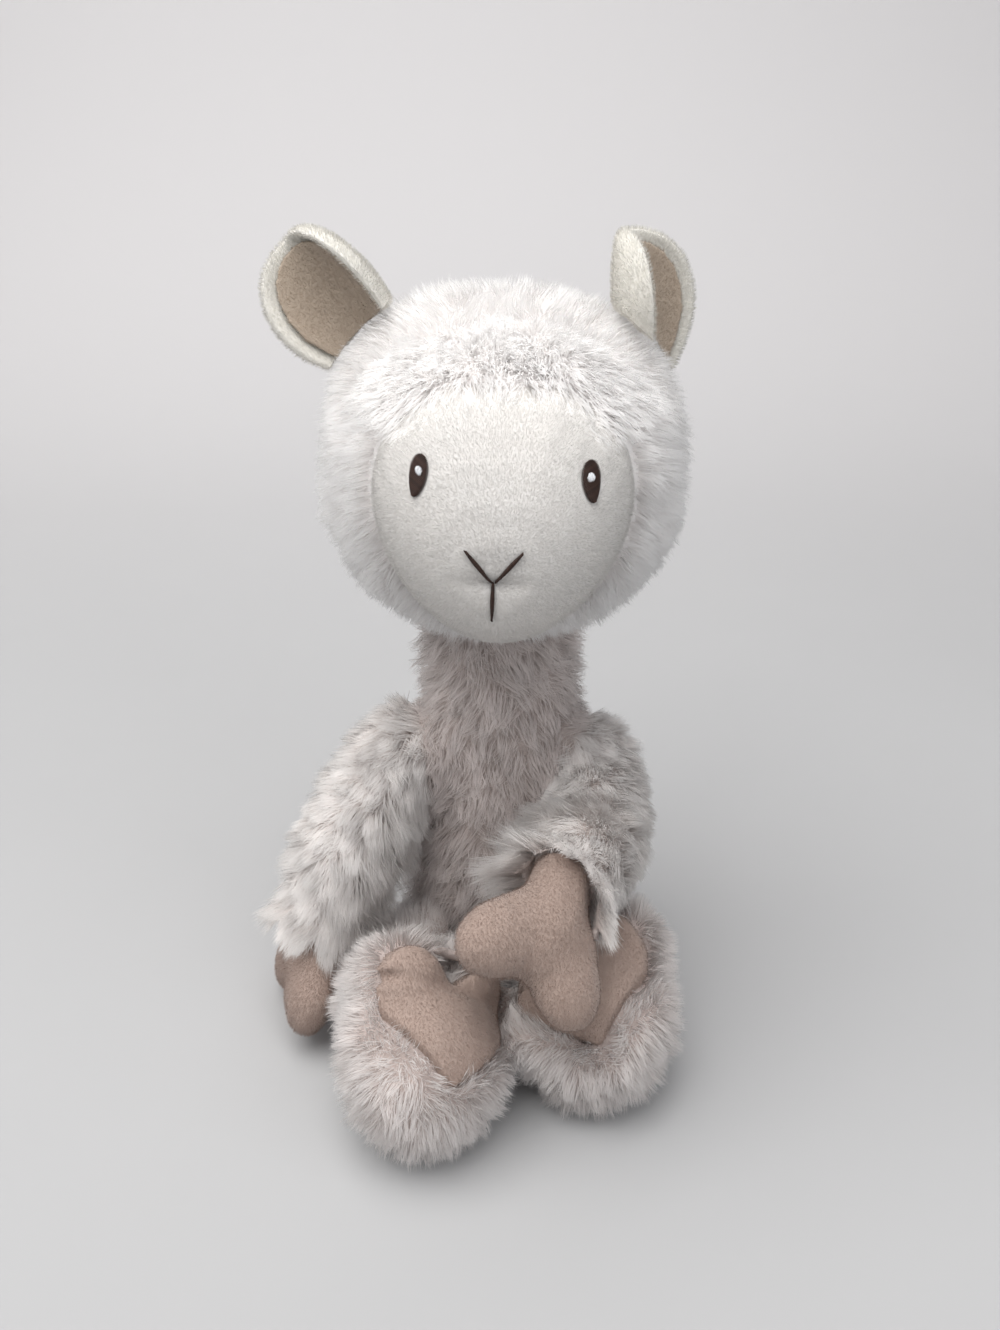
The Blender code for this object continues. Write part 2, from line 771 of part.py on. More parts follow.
class Foot:
    """One foot's place and the directions of its toes, its width and its sole."""

    def __init__(self, name, side, place, heart_place):
        forward, spread, turn, rise, roll = place
        self.name = name
        self.side = side
        self.heart_aside, self.heart_shift, self.heart_turn = heart_place
        yaw = math.radians(turn) * side
        pitch = math.radians(rise)
        tilt = math.radians(roll) * -side
        self.toes = Vector((math.sin(yaw) * math.cos(pitch), math.cos(yaw) * math.cos(pitch),
                            math.sin(pitch)))
        level = Vector((math.cos(yaw), -math.sin(yaw), 0))
        upright = level.cross(self.toes)
        self.sole = upright * math.cos(tilt) + level * math.sin(tilt)
        self.across = self.toes.cross(self.sole)
        self.axes = Matrix((self.across, self.toes, self.sole)).transposed()
        reach = self.half_height()
        self.centre = Vector((side * spread, -forward, reach))

    def half_height(self):
        """Return how high the foot's middle lies when its heel meets the floor."""
        halves = (FOOT_WIDTH / 2, FOOT_LENGTH / 2, FOOT_THICKNESS / 2)
        heights = (axis.z * half for axis, half in zip((self.across, self.toes, self.sole), halves))
        return math.hypot(*heights) - 2 * PILE_RELIEF / 3

    def at(self, across, toes, sole):
        """Return the world point of a place given from the foot's middle."""
        return self.centre + self.axes @ Vector((across, toes, sole))

    def in_heart(self, across, toes, sole):
        """Return the world point of a place given from the heart's own middle."""
        turned = Matrix.Rotation(math.radians(self.heart_turn), 2) @ Vector((across, toes))
        return self.at(turned.x + self.heart_aside, turned.y + self.heart_shift, sole)


def heart(width, length, notched=True, points=28):
    """Return a heart outline with its point down, or the same with its notch filled."""
    outline = []
    for index in range(points):
        t = math.tau * (index + 0.5) / points
        x = math.copysign(abs(math.sin(t)) ** HEART_SLIMNESS, math.sin(t))
        y = (13 * math.cos(t) - 5 * math.cos(2 * t) - 2 * math.cos(3 * t) - math.cos(4 * t)) / 29
        if not notched and math.cos(t) > HEART_BRIDGE:
            y = max(y, HEART_TOP)
        outline.append((x * width / 2, (y + HEART_MIDDLE) * length))
    return outline


def heart_prism(foot, name, low, high, margin=0.0, notched=True):
    """Return a prism of the sole's heart between two heights over the foot's middle."""
    rings = []
    for height in (low, high):
        outline = heart(SOLE_WIDTH + 2 * margin, SOLE_LENGTH + 2 * margin, notched)
        rings.append([foot.in_heart(x, y, height) for x, y in outline])
    return new_piece(name, loft(rings), "hoof_plush")


def foot_forms(foot, shrink=0.0):
    """Return the heel and the two toe lobes that make the foot."""
    half_length = FOOT_LENGTH / 2 - shrink
    half_width = FOOT_WIDTH / 2 - shrink
    half_thickness = FOOT_THICKNESS / 2 - shrink
    heel = ball(foot.at(0, -FOOT_LENGTH * HEEL_BACK, 0),
                (half_width, half_length * HEEL_LENGTH_SHARE, half_thickness), foot.axes)
    lobe_size = (half_width * LOBE_WIDTH_SHARE, half_length * LOBE_LENGTH_SHARE,
                 half_thickness * LOBE_THICKNESS_SHARE)
    lobes = [ball(foot.at(side * FOOT_WIDTH * LOBE_SPREAD, FOOT_LENGTH * LOBE_FORWARD, 0),
                  lobe_size, foot.axes)
             for _, side in SIDES]
    return [heel, *lobes]


def crease_cutter(foot, sole, steps=8):
    """Return a wedge that presses a crease across the sole, below its toes.

    It follows the pad at one depth and is open to the top, so that it can't bore through.
    """
    tree = skin_tree(sole)
    rings = []
    height = 0.0
    for step in range(steps + 1):
        across = SOLE_WIDTH * (step / steps - 0.5)
        above = foot.in_heart(across, SOLE_LENGTH * CREASE_PLACE, FOOT_THICKNESS)
        hit, _, _, distance = tree.ray_cast(above, -foot.sole)
        if hit is not None:
            height = FOOT_THICKNESS - distance
        rings.append([foot.in_heart(across, SOLE_LENGTH * CREASE_PLACE + aside, level)
                      for aside, level in ((0.0, height - CREASE_DEPTH),
                                           (CREASE_WIDTH / 2, height + CREASE_DEPTH / 2),
                                           (CREASE_WIDTH / 2, FOOT_THICKNESS),
                                           (-CREASE_WIDTH / 2, FOOT_THICKNESS),
                                           (-CREASE_WIDTH / 2, height + CREASE_DEPTH / 2))])
    return new_piece("crease", loft(rings), "hoof_plush")


def make_sole(foot, *neighbours):
    """Make the heart-shaped sole: a padded panel with a crease below the toes."""
    base = FOOT_THICKNESS / 2 - PANEL_RECESS - SOLE_DEPTH
    sole = fuse(f"sole_{foot.name}", foot_forms(foot, PANEL_RECESS), "hoof_plush", 700)
    cutter = heart_prism(foot, "heart", base + SEAM_GAP, FOOT_THICKNESS, -SEAM_GAP)
    combine(sole, cutter, "INTERSECT")
    combine(sole, crease_cutter(foot, sole), "DIFFERENCE")
    seat(sole, *neighbours)
    return sole


def make_leg(foot, body, *neighbours):
    """Make a thigh and its big round foot in one skin of long pile."""
    hip = Vector((foot.side * HIP_SPREAD / 2, -HIP_FORWARD, THIGH_WIDTH / 2))
    knee = Vector((foot.side * KNEE_SPREAD / 2, -KNEE_FORWARD, THIGH_WIDTH * 0.54))
    ankle = foot.at(0, FOOT_LENGTH * 0.1, -FOOT_THICKNESS * 0.1)
    path = smooth_path([hip, knee, ankle], 5)
    thigh = tube(path, [THIGH_WIDTH / 2] * len(path), 16)
    leg = fuse(f"leg_{foot.name}", [thigh, *foot_forms(foot)], "long_pile", 740)
    raise_clumps(leg)
    rest_on_floor(leg)
    base = FOOT_THICKNESS / 2 - PANEL_RECESS - SOLE_DEPTH
    combine(leg, heart_prism(foot, "pocket", base, FOOT_THICKNESS, notched=False), "DIFFERENCE")
    seat(leg, body, *neighbours)
    return leg


# Arms and hooves

class Arm:
    """One arm's route from the shoulder to the cuff, and how its hoof lies."""

    def __init__(self, name, side, bends, hoof_along, hoof_across, toe_splays):
        self.name = name
        self.side = side
        shoulder = Vector((side * (body_half_width(SHOULDER_HEIGHT) - SHOULDER_SINK), 0,
                           SHOULDER_HEIGHT))
        points = [shoulder]
        for bend in bends:
            step = Vector(bend).normalized() * ARM_LENGTH / len(bends)
            points.append(points[-1] + step)
        self.points = points
        self.along = Vector(hoof_along).normalized()
        across = Vector(hoof_across)
        self.across = (across - self.along * across.dot(self.along)).normalized()
        self.axes = Matrix((self.across, self.along, self.across.cross(self.along))).transposed()
        self.toe_splays = toe_splays

    @property
    def wrist(self):
        """Return the middle of the cuff, where the hoof comes out."""
        return self.points[-1]

    def hoof_at(self, across, along, over):
        """Return the world point of a place given from the wrist."""
        return self.wrist + self.axes @ Vector((across, along, over))


def make_hoof(arm):
    """Make a mitten-shaped hoof with two splayed toes."""
    half_thickness = HOOF_THICKNESS / 2
    wrist_path = [arm.hoof_at(0, -WRIST_IN_CUFF, 0), arm.hoof_at(0, HOOF_LENGTH * 0.35, 0)]
    forms = [tube(wrist_path, [WRIST_WIDTH / 2 * 0.8, WRIST_WIDTH / 2], 14)]
    palm_size = (TOE_WIDTH / 2 * PALM_WIDTH_SHARE, HOOF_LENGTH / 2 * PALM_LENGTH_SHARE,
                 half_thickness)
    forms.append(ball(arm.hoof_at(0, HOOF_LENGTH * PALM_PLACE, 0), palm_size, arm.axes))
    half_toe = HOOF_LENGTH / 2 * TOE_LENGTH_SHARE
    reach = half_toe * 1.1
    for (_, side), degrees in zip(SIDES, arm.toe_splays):
        splay = math.radians(degrees) * side
        turned = arm.axes @ Matrix.Rotation(-splay, 3, "Z")
        middle = arm.hoof_at(math.sin(splay) * reach,
                             HOOF_LENGTH * TOE_ROOT + math.cos(splay) * reach, 0)
        toe_size = (TOE_WIDTH / 2, half_toe, half_thickness * TOE_THICKNESS_SHARE)
        forms.append(ball(middle, toe_size, turned))
    hoof = fuse(f"hoof_{arm.name}", forms, "hoof_plush", 340)
    rest_on_floor(hoof)
    return hoof


def make_arm(arm, *neighbours, segments=16, rings_per_span=3):
    """Make an arm of long pile that ends in a ragged cuff of tufts."""
    path = smooth_path(arm.points, rings_per_span)
    widths = []
    for index in range(len(path)):
        share = index / (len(path) - 1)
        widths.append(ARM_WIDTH + (CUFF_WIDTH - ARM_WIDTH) * share ** 2)
    rings = []
    frames = path_axes(path, Vector((1, 0, 0)))
    for index, (point, width, (along, across, over)) in enumerate(zip(path, widths, frames)):
        last = index == len(path) - 1
        start = SHOULDER_SHARE if index == 0 else 1.0
        ring = []
        for step in range(segments):
            angle = math.tau * step / segments
            tuft = CUFF_TUFT * (1 if step % 2 else -0.35) if last else 0.0
            ring.append(point + along * tuft + start * width / 2
                        * (math.cos(angle) * across + math.sin(angle) * over))
        rings.append(ring)
    along, across, over = frames[-1]
    rings.append([path[-1] - along * CUFF_TUFT + CUFF_WIDTH * CUFF_MOUTH_SHARE
                  * (math.cos(math.tau * step / segments) * across
                     + math.sin(math.tau * step / segments) * over)
                  for step in range(segments)])
    piece = new_piece(f"arm_{arm.name}", loft(rings), "long_pile")
    raise_clumps(piece)
    rest_on_floor(piece)
    seat(piece, *neighbours)
    return piece


def make_tail(body):
    """Make the small tuft of a tail low on the back."""
    back = body_half_width(TAIL_HEIGHT) * BODY_DEPTH_RATIO
    root = Vector((0, back - TAIL_SINK, TAIL_HEIGHT))
    path = smooth_path([root, root + Vector((0, TAIL_LENGTH * 0.5, -TAIL_LENGTH * 0.15)),
                        root + Vector((0, TAIL_LENGTH * 0.75, -TAIL_LENGTH * 0.6))], 3)
    count = len(path) - 1
    radii = []
    for index in range(count + 1):
        share = index / count
        swell = TAIL_NECK_SHARE + TAIL_SWELL * math.sin(math.pi * 0.8 * share)
        radii.append(TAIL_WIDTH / 2 * swell * (1 - 0.8 * share ** 6))
    tail = new_piece("tail", tube(path, radii, 12), "long_pile")
    seat(tail, body)


def main():
    """Build the whole toy."""
    for leftover in list(bpy.data.objects):
        bpy.data.objects.remove(leftover)
    body = make_body()
    face = make_face()
    hood = make_hood(body, face)
    make_eyes(face)
    make_nose_and_mouth(face)
    make_ears(hood)
    arms = [Arm(name, side, *ARM_PLACES[name]) for name, side in SIDES]
    hooves = [make_hoof(arm) for arm in arms]
    lower = []
    for name, side in SIDES:
        foot = Foot(name, side, FOOT_PLACES[name], SOLE_PLACES[name])
        leg = make_leg(foot, body, *hooves, *lower)
        lower += [leg, make_sole(foot, *hooves)]
    for arm, hoof in zip(arms, hooves):
        make_arm(arm, body, hoof, *lower)
    make_tail(body)


main()
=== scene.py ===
"""Looks of a seated plush llama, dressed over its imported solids.

Every furry bag is a stuffed skin with its own pile: thousands of tapered blades that root
in the skin, lean the way the cloth is combed and draw together into locks. The short cloth
of the face, ears, hooves and soles gets the same in a finer cut, and the eyes, nose and
mouth are laid stitch by stitch. Lengths are metres, +Z is up, and the toy faces -Y.
"""

from __future__ import annotations

import copy
import logging
import math
from dataclasses import dataclass, field, replace
from enum import Enum
from typing import Callable, ClassVar, Iterable, Sequence

import bmesh
import bpy
import numpy as np
from mathutils import Matrix, Vector, noise
from mathutils.bvhtree import BVHTree
from mathutils.kdtree import KDTree

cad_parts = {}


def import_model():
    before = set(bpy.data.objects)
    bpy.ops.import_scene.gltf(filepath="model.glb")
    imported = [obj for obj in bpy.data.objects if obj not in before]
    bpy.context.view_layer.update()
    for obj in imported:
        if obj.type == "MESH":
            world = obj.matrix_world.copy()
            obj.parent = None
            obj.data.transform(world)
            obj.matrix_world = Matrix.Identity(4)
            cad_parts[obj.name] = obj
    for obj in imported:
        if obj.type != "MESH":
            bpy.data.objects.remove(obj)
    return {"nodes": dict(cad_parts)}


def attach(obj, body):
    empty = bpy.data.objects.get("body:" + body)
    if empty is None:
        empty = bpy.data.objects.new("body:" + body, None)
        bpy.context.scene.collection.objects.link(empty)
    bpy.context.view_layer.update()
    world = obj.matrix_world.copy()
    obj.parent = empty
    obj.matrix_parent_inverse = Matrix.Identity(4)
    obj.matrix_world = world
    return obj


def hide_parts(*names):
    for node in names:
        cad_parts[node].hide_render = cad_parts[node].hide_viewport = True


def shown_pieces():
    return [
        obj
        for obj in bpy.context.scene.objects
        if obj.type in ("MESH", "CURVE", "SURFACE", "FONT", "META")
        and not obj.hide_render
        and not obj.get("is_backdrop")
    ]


Array = np.ndarray
Colour = tuple[float, float, float]
OverSkin = Callable[[Array, Array], Array]
Place = tuple[float, float, float]
Thread = tuple[Vector, Vector, float]

log = logging.getLogger("llama")

# Measures that several pieces share

FLOOR_CLEARANCE = 0.0003
COAT_DEPTH = 0.0045
MERGE_DISTANCE = 1e-6
HEAD_CENTRE = np.array((0.001, -0.005, 0.2015))
HEAD_TURN = math.radians(-2.0)
HEAD_ROLL = math.radians(2.0)
HEAD_AXES = Matrix.Rotation(HEAD_TURN, 3, "Z") @ Matrix.Rotation(HEAD_ROLL, 3, "Y")


class Side(Enum):
    """The two sides of the toy, as seen from the front."""

    LEFT = ("left", -1)
    RIGHT = ("right", 1)

    @property
    def label(self) -> str:
        """The side's word in a node's name."""
        return self.value[0]

    @property
    def sign(self) -> int:
        """The side's sign along X."""
        return self.value[1]


# Shader maths


class Signal:
    """A shader socket that takes part in arithmetic."""

    def __init__(self, dye: Dye, socket: bpy.types.NodeSocket) -> None:
        """Wrap a socket of a dye's node tree."""
        self.dye = dye
        self.socket = socket

    def _math(self, operation: str, left: Signal | float, right: Signal | float) -> Signal:
        """Add one Math node and return its result."""
        return self.dye.node("ShaderNodeMath", {"operation": operation}, {0: left, 1: right})

    def __add__(self, other: Signal | float) -> Signal:
        """Add a value."""
        return self._math("ADD", self, other)

    def __radd__(self, other: Signal | float) -> Signal:
        """Add to a value."""
        return self._math("ADD", other, self)

    def __sub__(self, other: Signal | float) -> Signal:
        """Take a value away."""
        return self._math("SUBTRACT", self, other)

    def __rsub__(self, other: Signal | float) -> Signal:
        """Take this away from a value."""
        return self._math("SUBTRACT", other, self)

    def __mul__(self, other: Signal | float) -> Signal:
        """Multiply by a value."""
        return self._math("MULTIPLY", self, other)

    def __rmul__(self, other: Signal | float) -> Signal:
        """Multiply a value by this."""
        return self._math("MULTIPLY", other, self)

    def __pow__(self, other: Signal | float) -> Signal:
        """Raise to a power."""
        return self._math("POWER", self, other)

    def __rpow__(self, other: Signal | float) -> Signal:
        """Raise a value to this power."""
        return self._math("POWER", other, self)

    def scaled(self, factor: Signal | float) -> Signal:
        """Return this colour or vector times a number."""
        return self.dye.node("ShaderNodeVectorMath", {"operation": "SCALE"},
                             {0: self, "Scale": factor})


class Dye:
    """One material's node tree, and the single way to add nodes to it."""

    def __init__(self, name: str) -> None:
        """Start a material with its shader and nothing else.

        Args:
            name: The material's name.
        """
        self.material = bpy.data.materials.new(name)
        self.material.use_nodes = True
        self.tree = self.material.node_tree
        self.shader = self.tree.nodes["Principled BSDF"]

    def feed(self, socket: bpy.types.NodeSocket, value: object) -> None:
        """Link a signal to a socket, or set the socket's own value.

        Args:
            socket: The socket.
            value: A signal, a colour or a number.
        """
        if isinstance(value, Signal):
            self.tree.links.new(value.socket, socket)
        elif isinstance(value, tuple) and socket.type == "RGBA":
            socket.default_value = (*value[:3], 1.0)
        else:
            socket.default_value = value

    def node(self, kind: str, settings: dict[str, object] | None = None,
             inputs: dict[int | str, object] | None = None, output: int | str = 0) -> Signal:
        """Add a node.

        Args:
            kind: The node's type.
            settings: Its own settings, such as a Math node's operation.
            inputs: Values or signals for its sockets.
            output: The socket to return.

        Returns:
            The signal of that socket.
        """
        made = self.tree.nodes.new(kind)
        for key, value in (settings or {}).items():
            setattr(made, key, value)
        for key, value in (inputs or {}).items():
            self.feed(made.inputs[key], value)
        return Signal(self, made.outputs[output])

    def place(self) -> Signal:
        """Return the place on the object, in metres."""
        return self.node("ShaderNodeTexCoord", output="Object")

    def noise(self, scale: float, detail: float = 2.0, roughness: float = 0.5) -> Signal:
        """Return a soft noise over the object, from 0 to 1."""
        return self.node("ShaderNodeTexNoise", inputs={
            "Vector": self.place(), "Scale": scale, "Detail": detail, "Roughness": roughness})

    def mix(self, share: Signal | float, first: Signal | Colour, second: Signal | Colour) -> Signal:
        """Return a colour between two colours."""
        return self.node("ShaderNodeMix", {"data_type": "RGBA"}, {0: share, 6: first, 7: second},
                         output=2)

    def channel(self, attribute: str, index: int) -> Signal:
        """Return one channel of a colour attribute of the mesh."""
        colour = self.node("ShaderNodeAttribute", {"attribute_name": attribute}, output="Color")
        return self.node("ShaderNodeSeparateColor", inputs={0: colour}, output=index)

    def fade(self, axis: int, start: float, stop: float) -> Signal:
        """Return a soft fade over the object.

        Args:
            axis: The axis that it runs along, 0 to 2.
            start: Where it is 0.
            stop: Where it is 1.

        Returns:
            The fade.
        """
        place = self.node("ShaderNodeSeparateXYZ", inputs={0: self.place()}, output=axis)
        return self.node("ShaderNodeMapRange", {"interpolation_type": "SMOOTHSTEP"},
                         {0: place, 1: start, 2: stop, 3: 0.0, 4: 1.0})

    def bump(self, height: Signal, distance: float) -> None:
        """Raise the surface.

        Args:
            height: Its height, from 0 to 1.
            distance: How high 1 is, in metres.
        """
        normal = self.node("ShaderNodeBump", inputs={
            "Height": height, "Distance": distance, "Strength": 1.0})
        self.feed(self.shader.inputs["Normal"], normal)

    def glow(self, share: float, colour: Colour) -> None:
        """Let some of the light through, as thin pale fibres do.

        Args:
            share: The share of the light, from 0 to 1.
            colour: The colour that it takes.
        """
        flat = self.node("ShaderNodeNewGeometry", output="True Normal")
        through = self.node("ShaderNodeBsdfTranslucent", inputs={"Color": colour, "Normal": flat})
        surface = Signal(self, self.shader.outputs["BSDF"])
        both = self.node("ShaderNodeMixShader", inputs={0: share, 1: surface, 2: through})
        self.feed(self.tree.nodes["Material Output"].inputs["Surface"], both)

    def lustre(self, roughness: Signal | float, sheen: float = 0.0,
               specular: float = 0.25) -> None:
        """Set how the surface takes light.

        Args:
            roughness: How rough it is.
            sheen: Weight of the soft sheen at grazing angles.
            specular: Strength of the clear reflection.
        """
        self.feed(self.shader.inputs["Roughness"], roughness)
        self.shader.inputs["Sheen Weight"].default_value = sheen
        self.shader.inputs["Sheen Roughness"].default_value = 0.5
        self.shader.inputs["Specular IOR Level"].default_value = specular


@dataclass(frozen=True)
class PileFinish:
    """The fibres of a cloth: paler at their tips, with roots darker partly as painted shade down in
    the pile, and drifting in tone over the toy.

    Attributes:
        name: The material's name.
        tip: Colour at the fibres' ends.
        root: Colour down in the pile, darker than the tips partly as painted shade among the fibres.
        tint: Colour that soft patches drift to.
        drift: How far the patches go, from 0 to 1.
        patches: Patches a metre.
        rise: How soon the tip colour is reached; below 1 is sooner.
        jitter: How much the fibres differ in brightness.
        roughness: Middle roughness.
        sheen: Weight of the soft sheen at grazing angles.
        through: Share of the light that goes through a fibre.
        hidden: Whether the pile hides the cloth, which is then painted as dark as its roots and
            darker, as painted shade between the locks.
        front: The finish that it turns to on the toy's front, if that differs; the torso's darker
            front is partly painted shade.
        own_tone: Each fibre's own share in the jitter.
        lock_tone: Its lock's share in the jitter.
        patch_contrast: How hard the patches' edges are.
        patch_shift: How much of the cloth lies between the patches.
        back_from: The Y behind which all is the back.
        front_from: The Y before which all is the front.
    """

    name: str
    tip: Colour
    root: Colour
    tint: Colour
    drift: float = 0.35
    patches: float = 60.0
    rise: float = 0.8
    jitter: float = 0.10
    roughness: float = 0.8
    sheen: float = 0.25
    through: float = 0.45
    hidden: bool = False
    front: PileFinish | None = None
    own_tone: ClassVar[float] = 0.6
    lock_tone: ClassVar[float] = 0.8
    patch_contrast: ClassVar[float] = 2.4
    patch_shift: ClassVar[float] = 0.7
    back_from: ClassVar[float] = 0.022
    front_from: ClassVar[float] = -0.006

    def drifted(self, dye: Dye, colour: Signal) -> Signal:
        """Let a colour drift to the tint in soft patches.

        Args:
            dye: The material that asks for it.
            colour: The colour.

        Returns:
            The drifting colour.
        """
        patch = dye.noise(self.patches, 2.0) * self.patch_contrast - self.patch_shift
        return dye.mix(patch * self.drift, colour, self.tint)

    def colour(self, dye: Dye, along: Signal) -> Signal:
        """Return the colour from root to tip, drifting in soft patches.

        Args:
            dye: The material that asks for it.
            along: How far up the fibre, from 0 to 1.

        Returns:
            The colour.
        """
        # Roots fade to tips: the darker roots are partly painted shade among the fibres.
        own = self.drifted(dye, dye.mix(along ** self.rise, self.root, self.tip))
        if self.front is None:
            return own
        # The front turns to its own finish; the torso's darker front is partly matting and partly
        # painted shade from the head above.
        ahead = dye.fade(1, self.back_from, self.front_from)
        return dye.mix(ahead, own, self.front.colour(dye, along))

    def fibre(self) -> bpy.types.Material:
        """Make the material of the fibres, which reads what each blade carries.

        Returns:
            The material.
        """
        dye = Dye(self.name + "_fibre")
        own = dye.channel("pile", 1)
        lock = dye.channel("pile", 2)
        colour = self.colour(dye, dye.channel("pile", 0))
        light = 1.0 - self.jitter * self.own_tone * own - self.jitter * self.lock_tone * lock
        dye.feed(dye.shader.inputs["Base Color"], colour.scaled(light))
        dye.lustre(self.roughness - 0.12 * own, self.sheen)
        dye.glow(self.through, self.tip)
        return dye.material

    def cloth(self, grain: float = 1400.0, depth: float = 0.0006) -> bpy.types.Material:
        """Make the material of the knitted cloth below the fibres.

        Args:
            grain: Grains a metre of the nap.
            depth: Height of the nap's relief in metres.

        Returns:
            The material.
        """
        dye = Dye(self.name + "_cloth")
        nap = dye.noise(grain, 3.0, 0.6)
        tufts = dye.noise(grain * 0.22, 2.0, 0.5)
        # Under a hiding pile the cloth is painted darker than the roots: painted shade between the
        # locks.
        deep = tuple(channel * 0.72 for channel in self.root)
        low, high = (deep, self.root) if self.hidden else (self.root, self.tip)
        colour = dye.mix(nap * 0.5 + tufts * 0.5, low, high)
        if not self.hidden:
            colour = self.drifted(dye, colour)
        # Painted shade in seams and folds, read from the mesh's colour attribute.
        shadow = tuple(channel * 0.8 for channel in deep)
        colour = dye.mix(dye.channel("seam", 0), colour, shadow)
        dye.feed(dye.shader.inputs["Base Color"], colour)
        dye.lustre(self.roughness + 0.15 * nap, self.sheen)
        dye.bump(nap * 0.6 + tufts, depth)
        return dye.material


@dataclass(frozen=True)
class ThreadFinish:
    """Embroidery thread with a low lustre and a fine twist.

    Attributes:
        name: The material's name.
        colour: Its deep colour.
        light: Its light colour.
        roughness: Least roughness.
    """

    name: str
    colour: Colour
    light: Colour
    roughness: float = 0.42

    def material(self) -> bpy.types.Material:
        """Make the thread's material.

        Returns:
            The material.
        """
        dye = Dye(self.name)
        own = dye.channel("pile", 1)
        twist = dye.noise(5200.0, 1.0)
        colour = dye.mix(own * 0.7 + twist * 0.3, self.colour, self.light)
        dye.feed(dye.shader.inputs["Base Color"], colour)
        dye.lustre(self.roughness + 0.15 * twist, specular=0.3)
        dye.bump(twist, 0.00008)
        return dye.material


HOOD = PileFinish(
    "hood_pile", tip=(0.91, 0.91, 0.91), root=(0.78, 0.73, 0.71), tint=(0.88, 0.86, 0.85),
    drift=0.25, jitter=0.06)
COAT = PileFinish(
    "long_pile", tip=(0.94, 0.93, 0.92), root=(0.62, 0.54, 0.51), tint=(0.84, 0.79, 0.77),
    jitter=0.22, through=0.38, hidden=True)
# The torso's front: matted pile, painted darker than the back partly as painted shade from the head
# above.
MATTED_SHADED = PileFinish(
    "matted_shaded_pile", tip=(0.89, 0.83, 0.81), root=(0.46, 0.37, 0.34), tint=(0.72, 0.63, 0.61),
    drift=0.45)
TORSO = replace(COAT, name="torso_pile", through=0.34, front=MATTED_SHADED)
# The legs' pile: roots darker than the arms', as painted shade.
SHADED_LEGS = PileFinish(
    "shaded_leg_pile", tip=(0.93, 0.91, 0.90), root=(0.58, 0.49, 0.46), tint=(0.80, 0.74, 0.72),
    jitter=0.22, through=0.36, hidden=True)
FACE = PileFinish(
    "face_plush", tip=(0.77, 0.76, 0.74), root=(0.65, 0.62, 0.60), tint=(0.73, 0.70, 0.67),
    drift=0.30)
EAR = PileFinish(
    "ear_plush", tip=(0.86, 0.85, 0.81), root=(0.74, 0.71, 0.66), tint=(0.82, 0.79, 0.73),
    drift=0.30, jitter=0.08)
LINING = PileFinish(
    "ear_lining", tip=(0.50, 0.42, 0.34), root=(0.35, 0.28, 0.22), tint=(0.42, 0.34, 0.27),
    drift=0.40)
HOOF = PileFinish(
    "hoof_plush", tip=(0.51, 0.40, 0.35), root=(0.34, 0.25, 0.21), tint=(0.45, 0.34, 0.29),
    drift=0.40)
DARK = ThreadFinish("dark_thread", colour=(0.016, 0.007, 0.005), light=(0.055, 0.026, 0.018))
WHITE = ThreadFinish("white_thread", colour=(0.72, 0.73, 0.76), light=(0.88, 0.89, 0.92))


# Skins


def unit(vectors: Array) -> Array:
    """Return vectors at length 1."""
    return vectors / np.maximum(np.linalg.norm(vectors, axis=-1, keepdims=True), 1e-12)


def tangent(vectors: Array, normals: Array) -> Array:
    """Return the part of each vector that lies along the skin, at length 1."""
    return unit(vectors - normals * (vectors * normals).sum(axis=-1, keepdims=True))


def combed(vectors: Array, normals: Array) -> Array:
    """Return ways along the skin or off it, with what points into it taken out."""
    into = np.minimum((vectors * normals).sum(axis=-1, keepdims=True), 0.0)
    return unit(vectors - normals * into)


def step(values: Array, low: float, high: float) -> Array:
    """Return a soft step from 0 at low to 1 at high."""
    share = np.clip((values - low) / (high - low), 0.0, 1.0)
    return share * share * (3 - 2 * share)


def bell(values: Array, middle: float, width: float) -> Array:
    """Return a bell that is 1 at its middle and fades out over its width."""
    return np.exp(-((values - middle) / width) ** 2)


def ways(across: Array | float, back: Array | float, up: Array | float) -> Array:
    """Return one way a point from its three parts, of which some may be one number for all."""
    return np.stack(np.broadcast_arrays(across, back, up), axis=1)


def drift_of(points: Array, size: float, seed: float) -> Array:
    """Return a smooth random vector at each point, which changes over a distance."""
    shift = Vector((seed, seed * 1.7, seed * 0.3))
    return np.array([noise.noise_vector(Vector(point) / size + shift) for point in points])


def new_object(name: str, mesh: bpy.types.Mesh, *materials: bpy.types.Material) -> bpy.types.Object:
    """Put a mesh into the scene as a smooth object.

    Args:
        name: The object's name.
        mesh: Its mesh.
        materials: Its materials.

    Returns:
        The object.
    """
    mesh.name = name
    mesh.materials.clear()
    for material in materials:
        mesh.materials.append(material)
    mesh.shade_smooth()
    made = bpy.data.objects.new(name, mesh)
    bpy.context.scene.collection.objects.link(made)
    return made


def solids_of(nodes: Iterable[str]) -> bpy.types.Mesh:
    """Join the solids of some nodes into one mesh.

    Args:
        nodes: The nodes.

    Returns:
        The mesh, in the world's axes.
    """
    joined = bmesh.new()
    for node in nodes:
        shape = frame["nodes"][node]
        placed = shape.data.copy()
        placed.transform(shape.matrix_world)
        joined.from_mesh(placed)
        bpy.data.meshes.remove(placed)
    bmesh.ops.remove_doubles(joined, verts=joined.verts, dist=MERGE_DISTANCE)
    mesh = bpy.data.meshes.new("solids")
    joined.to_mesh(mesh)
    joined.free()
    return mesh


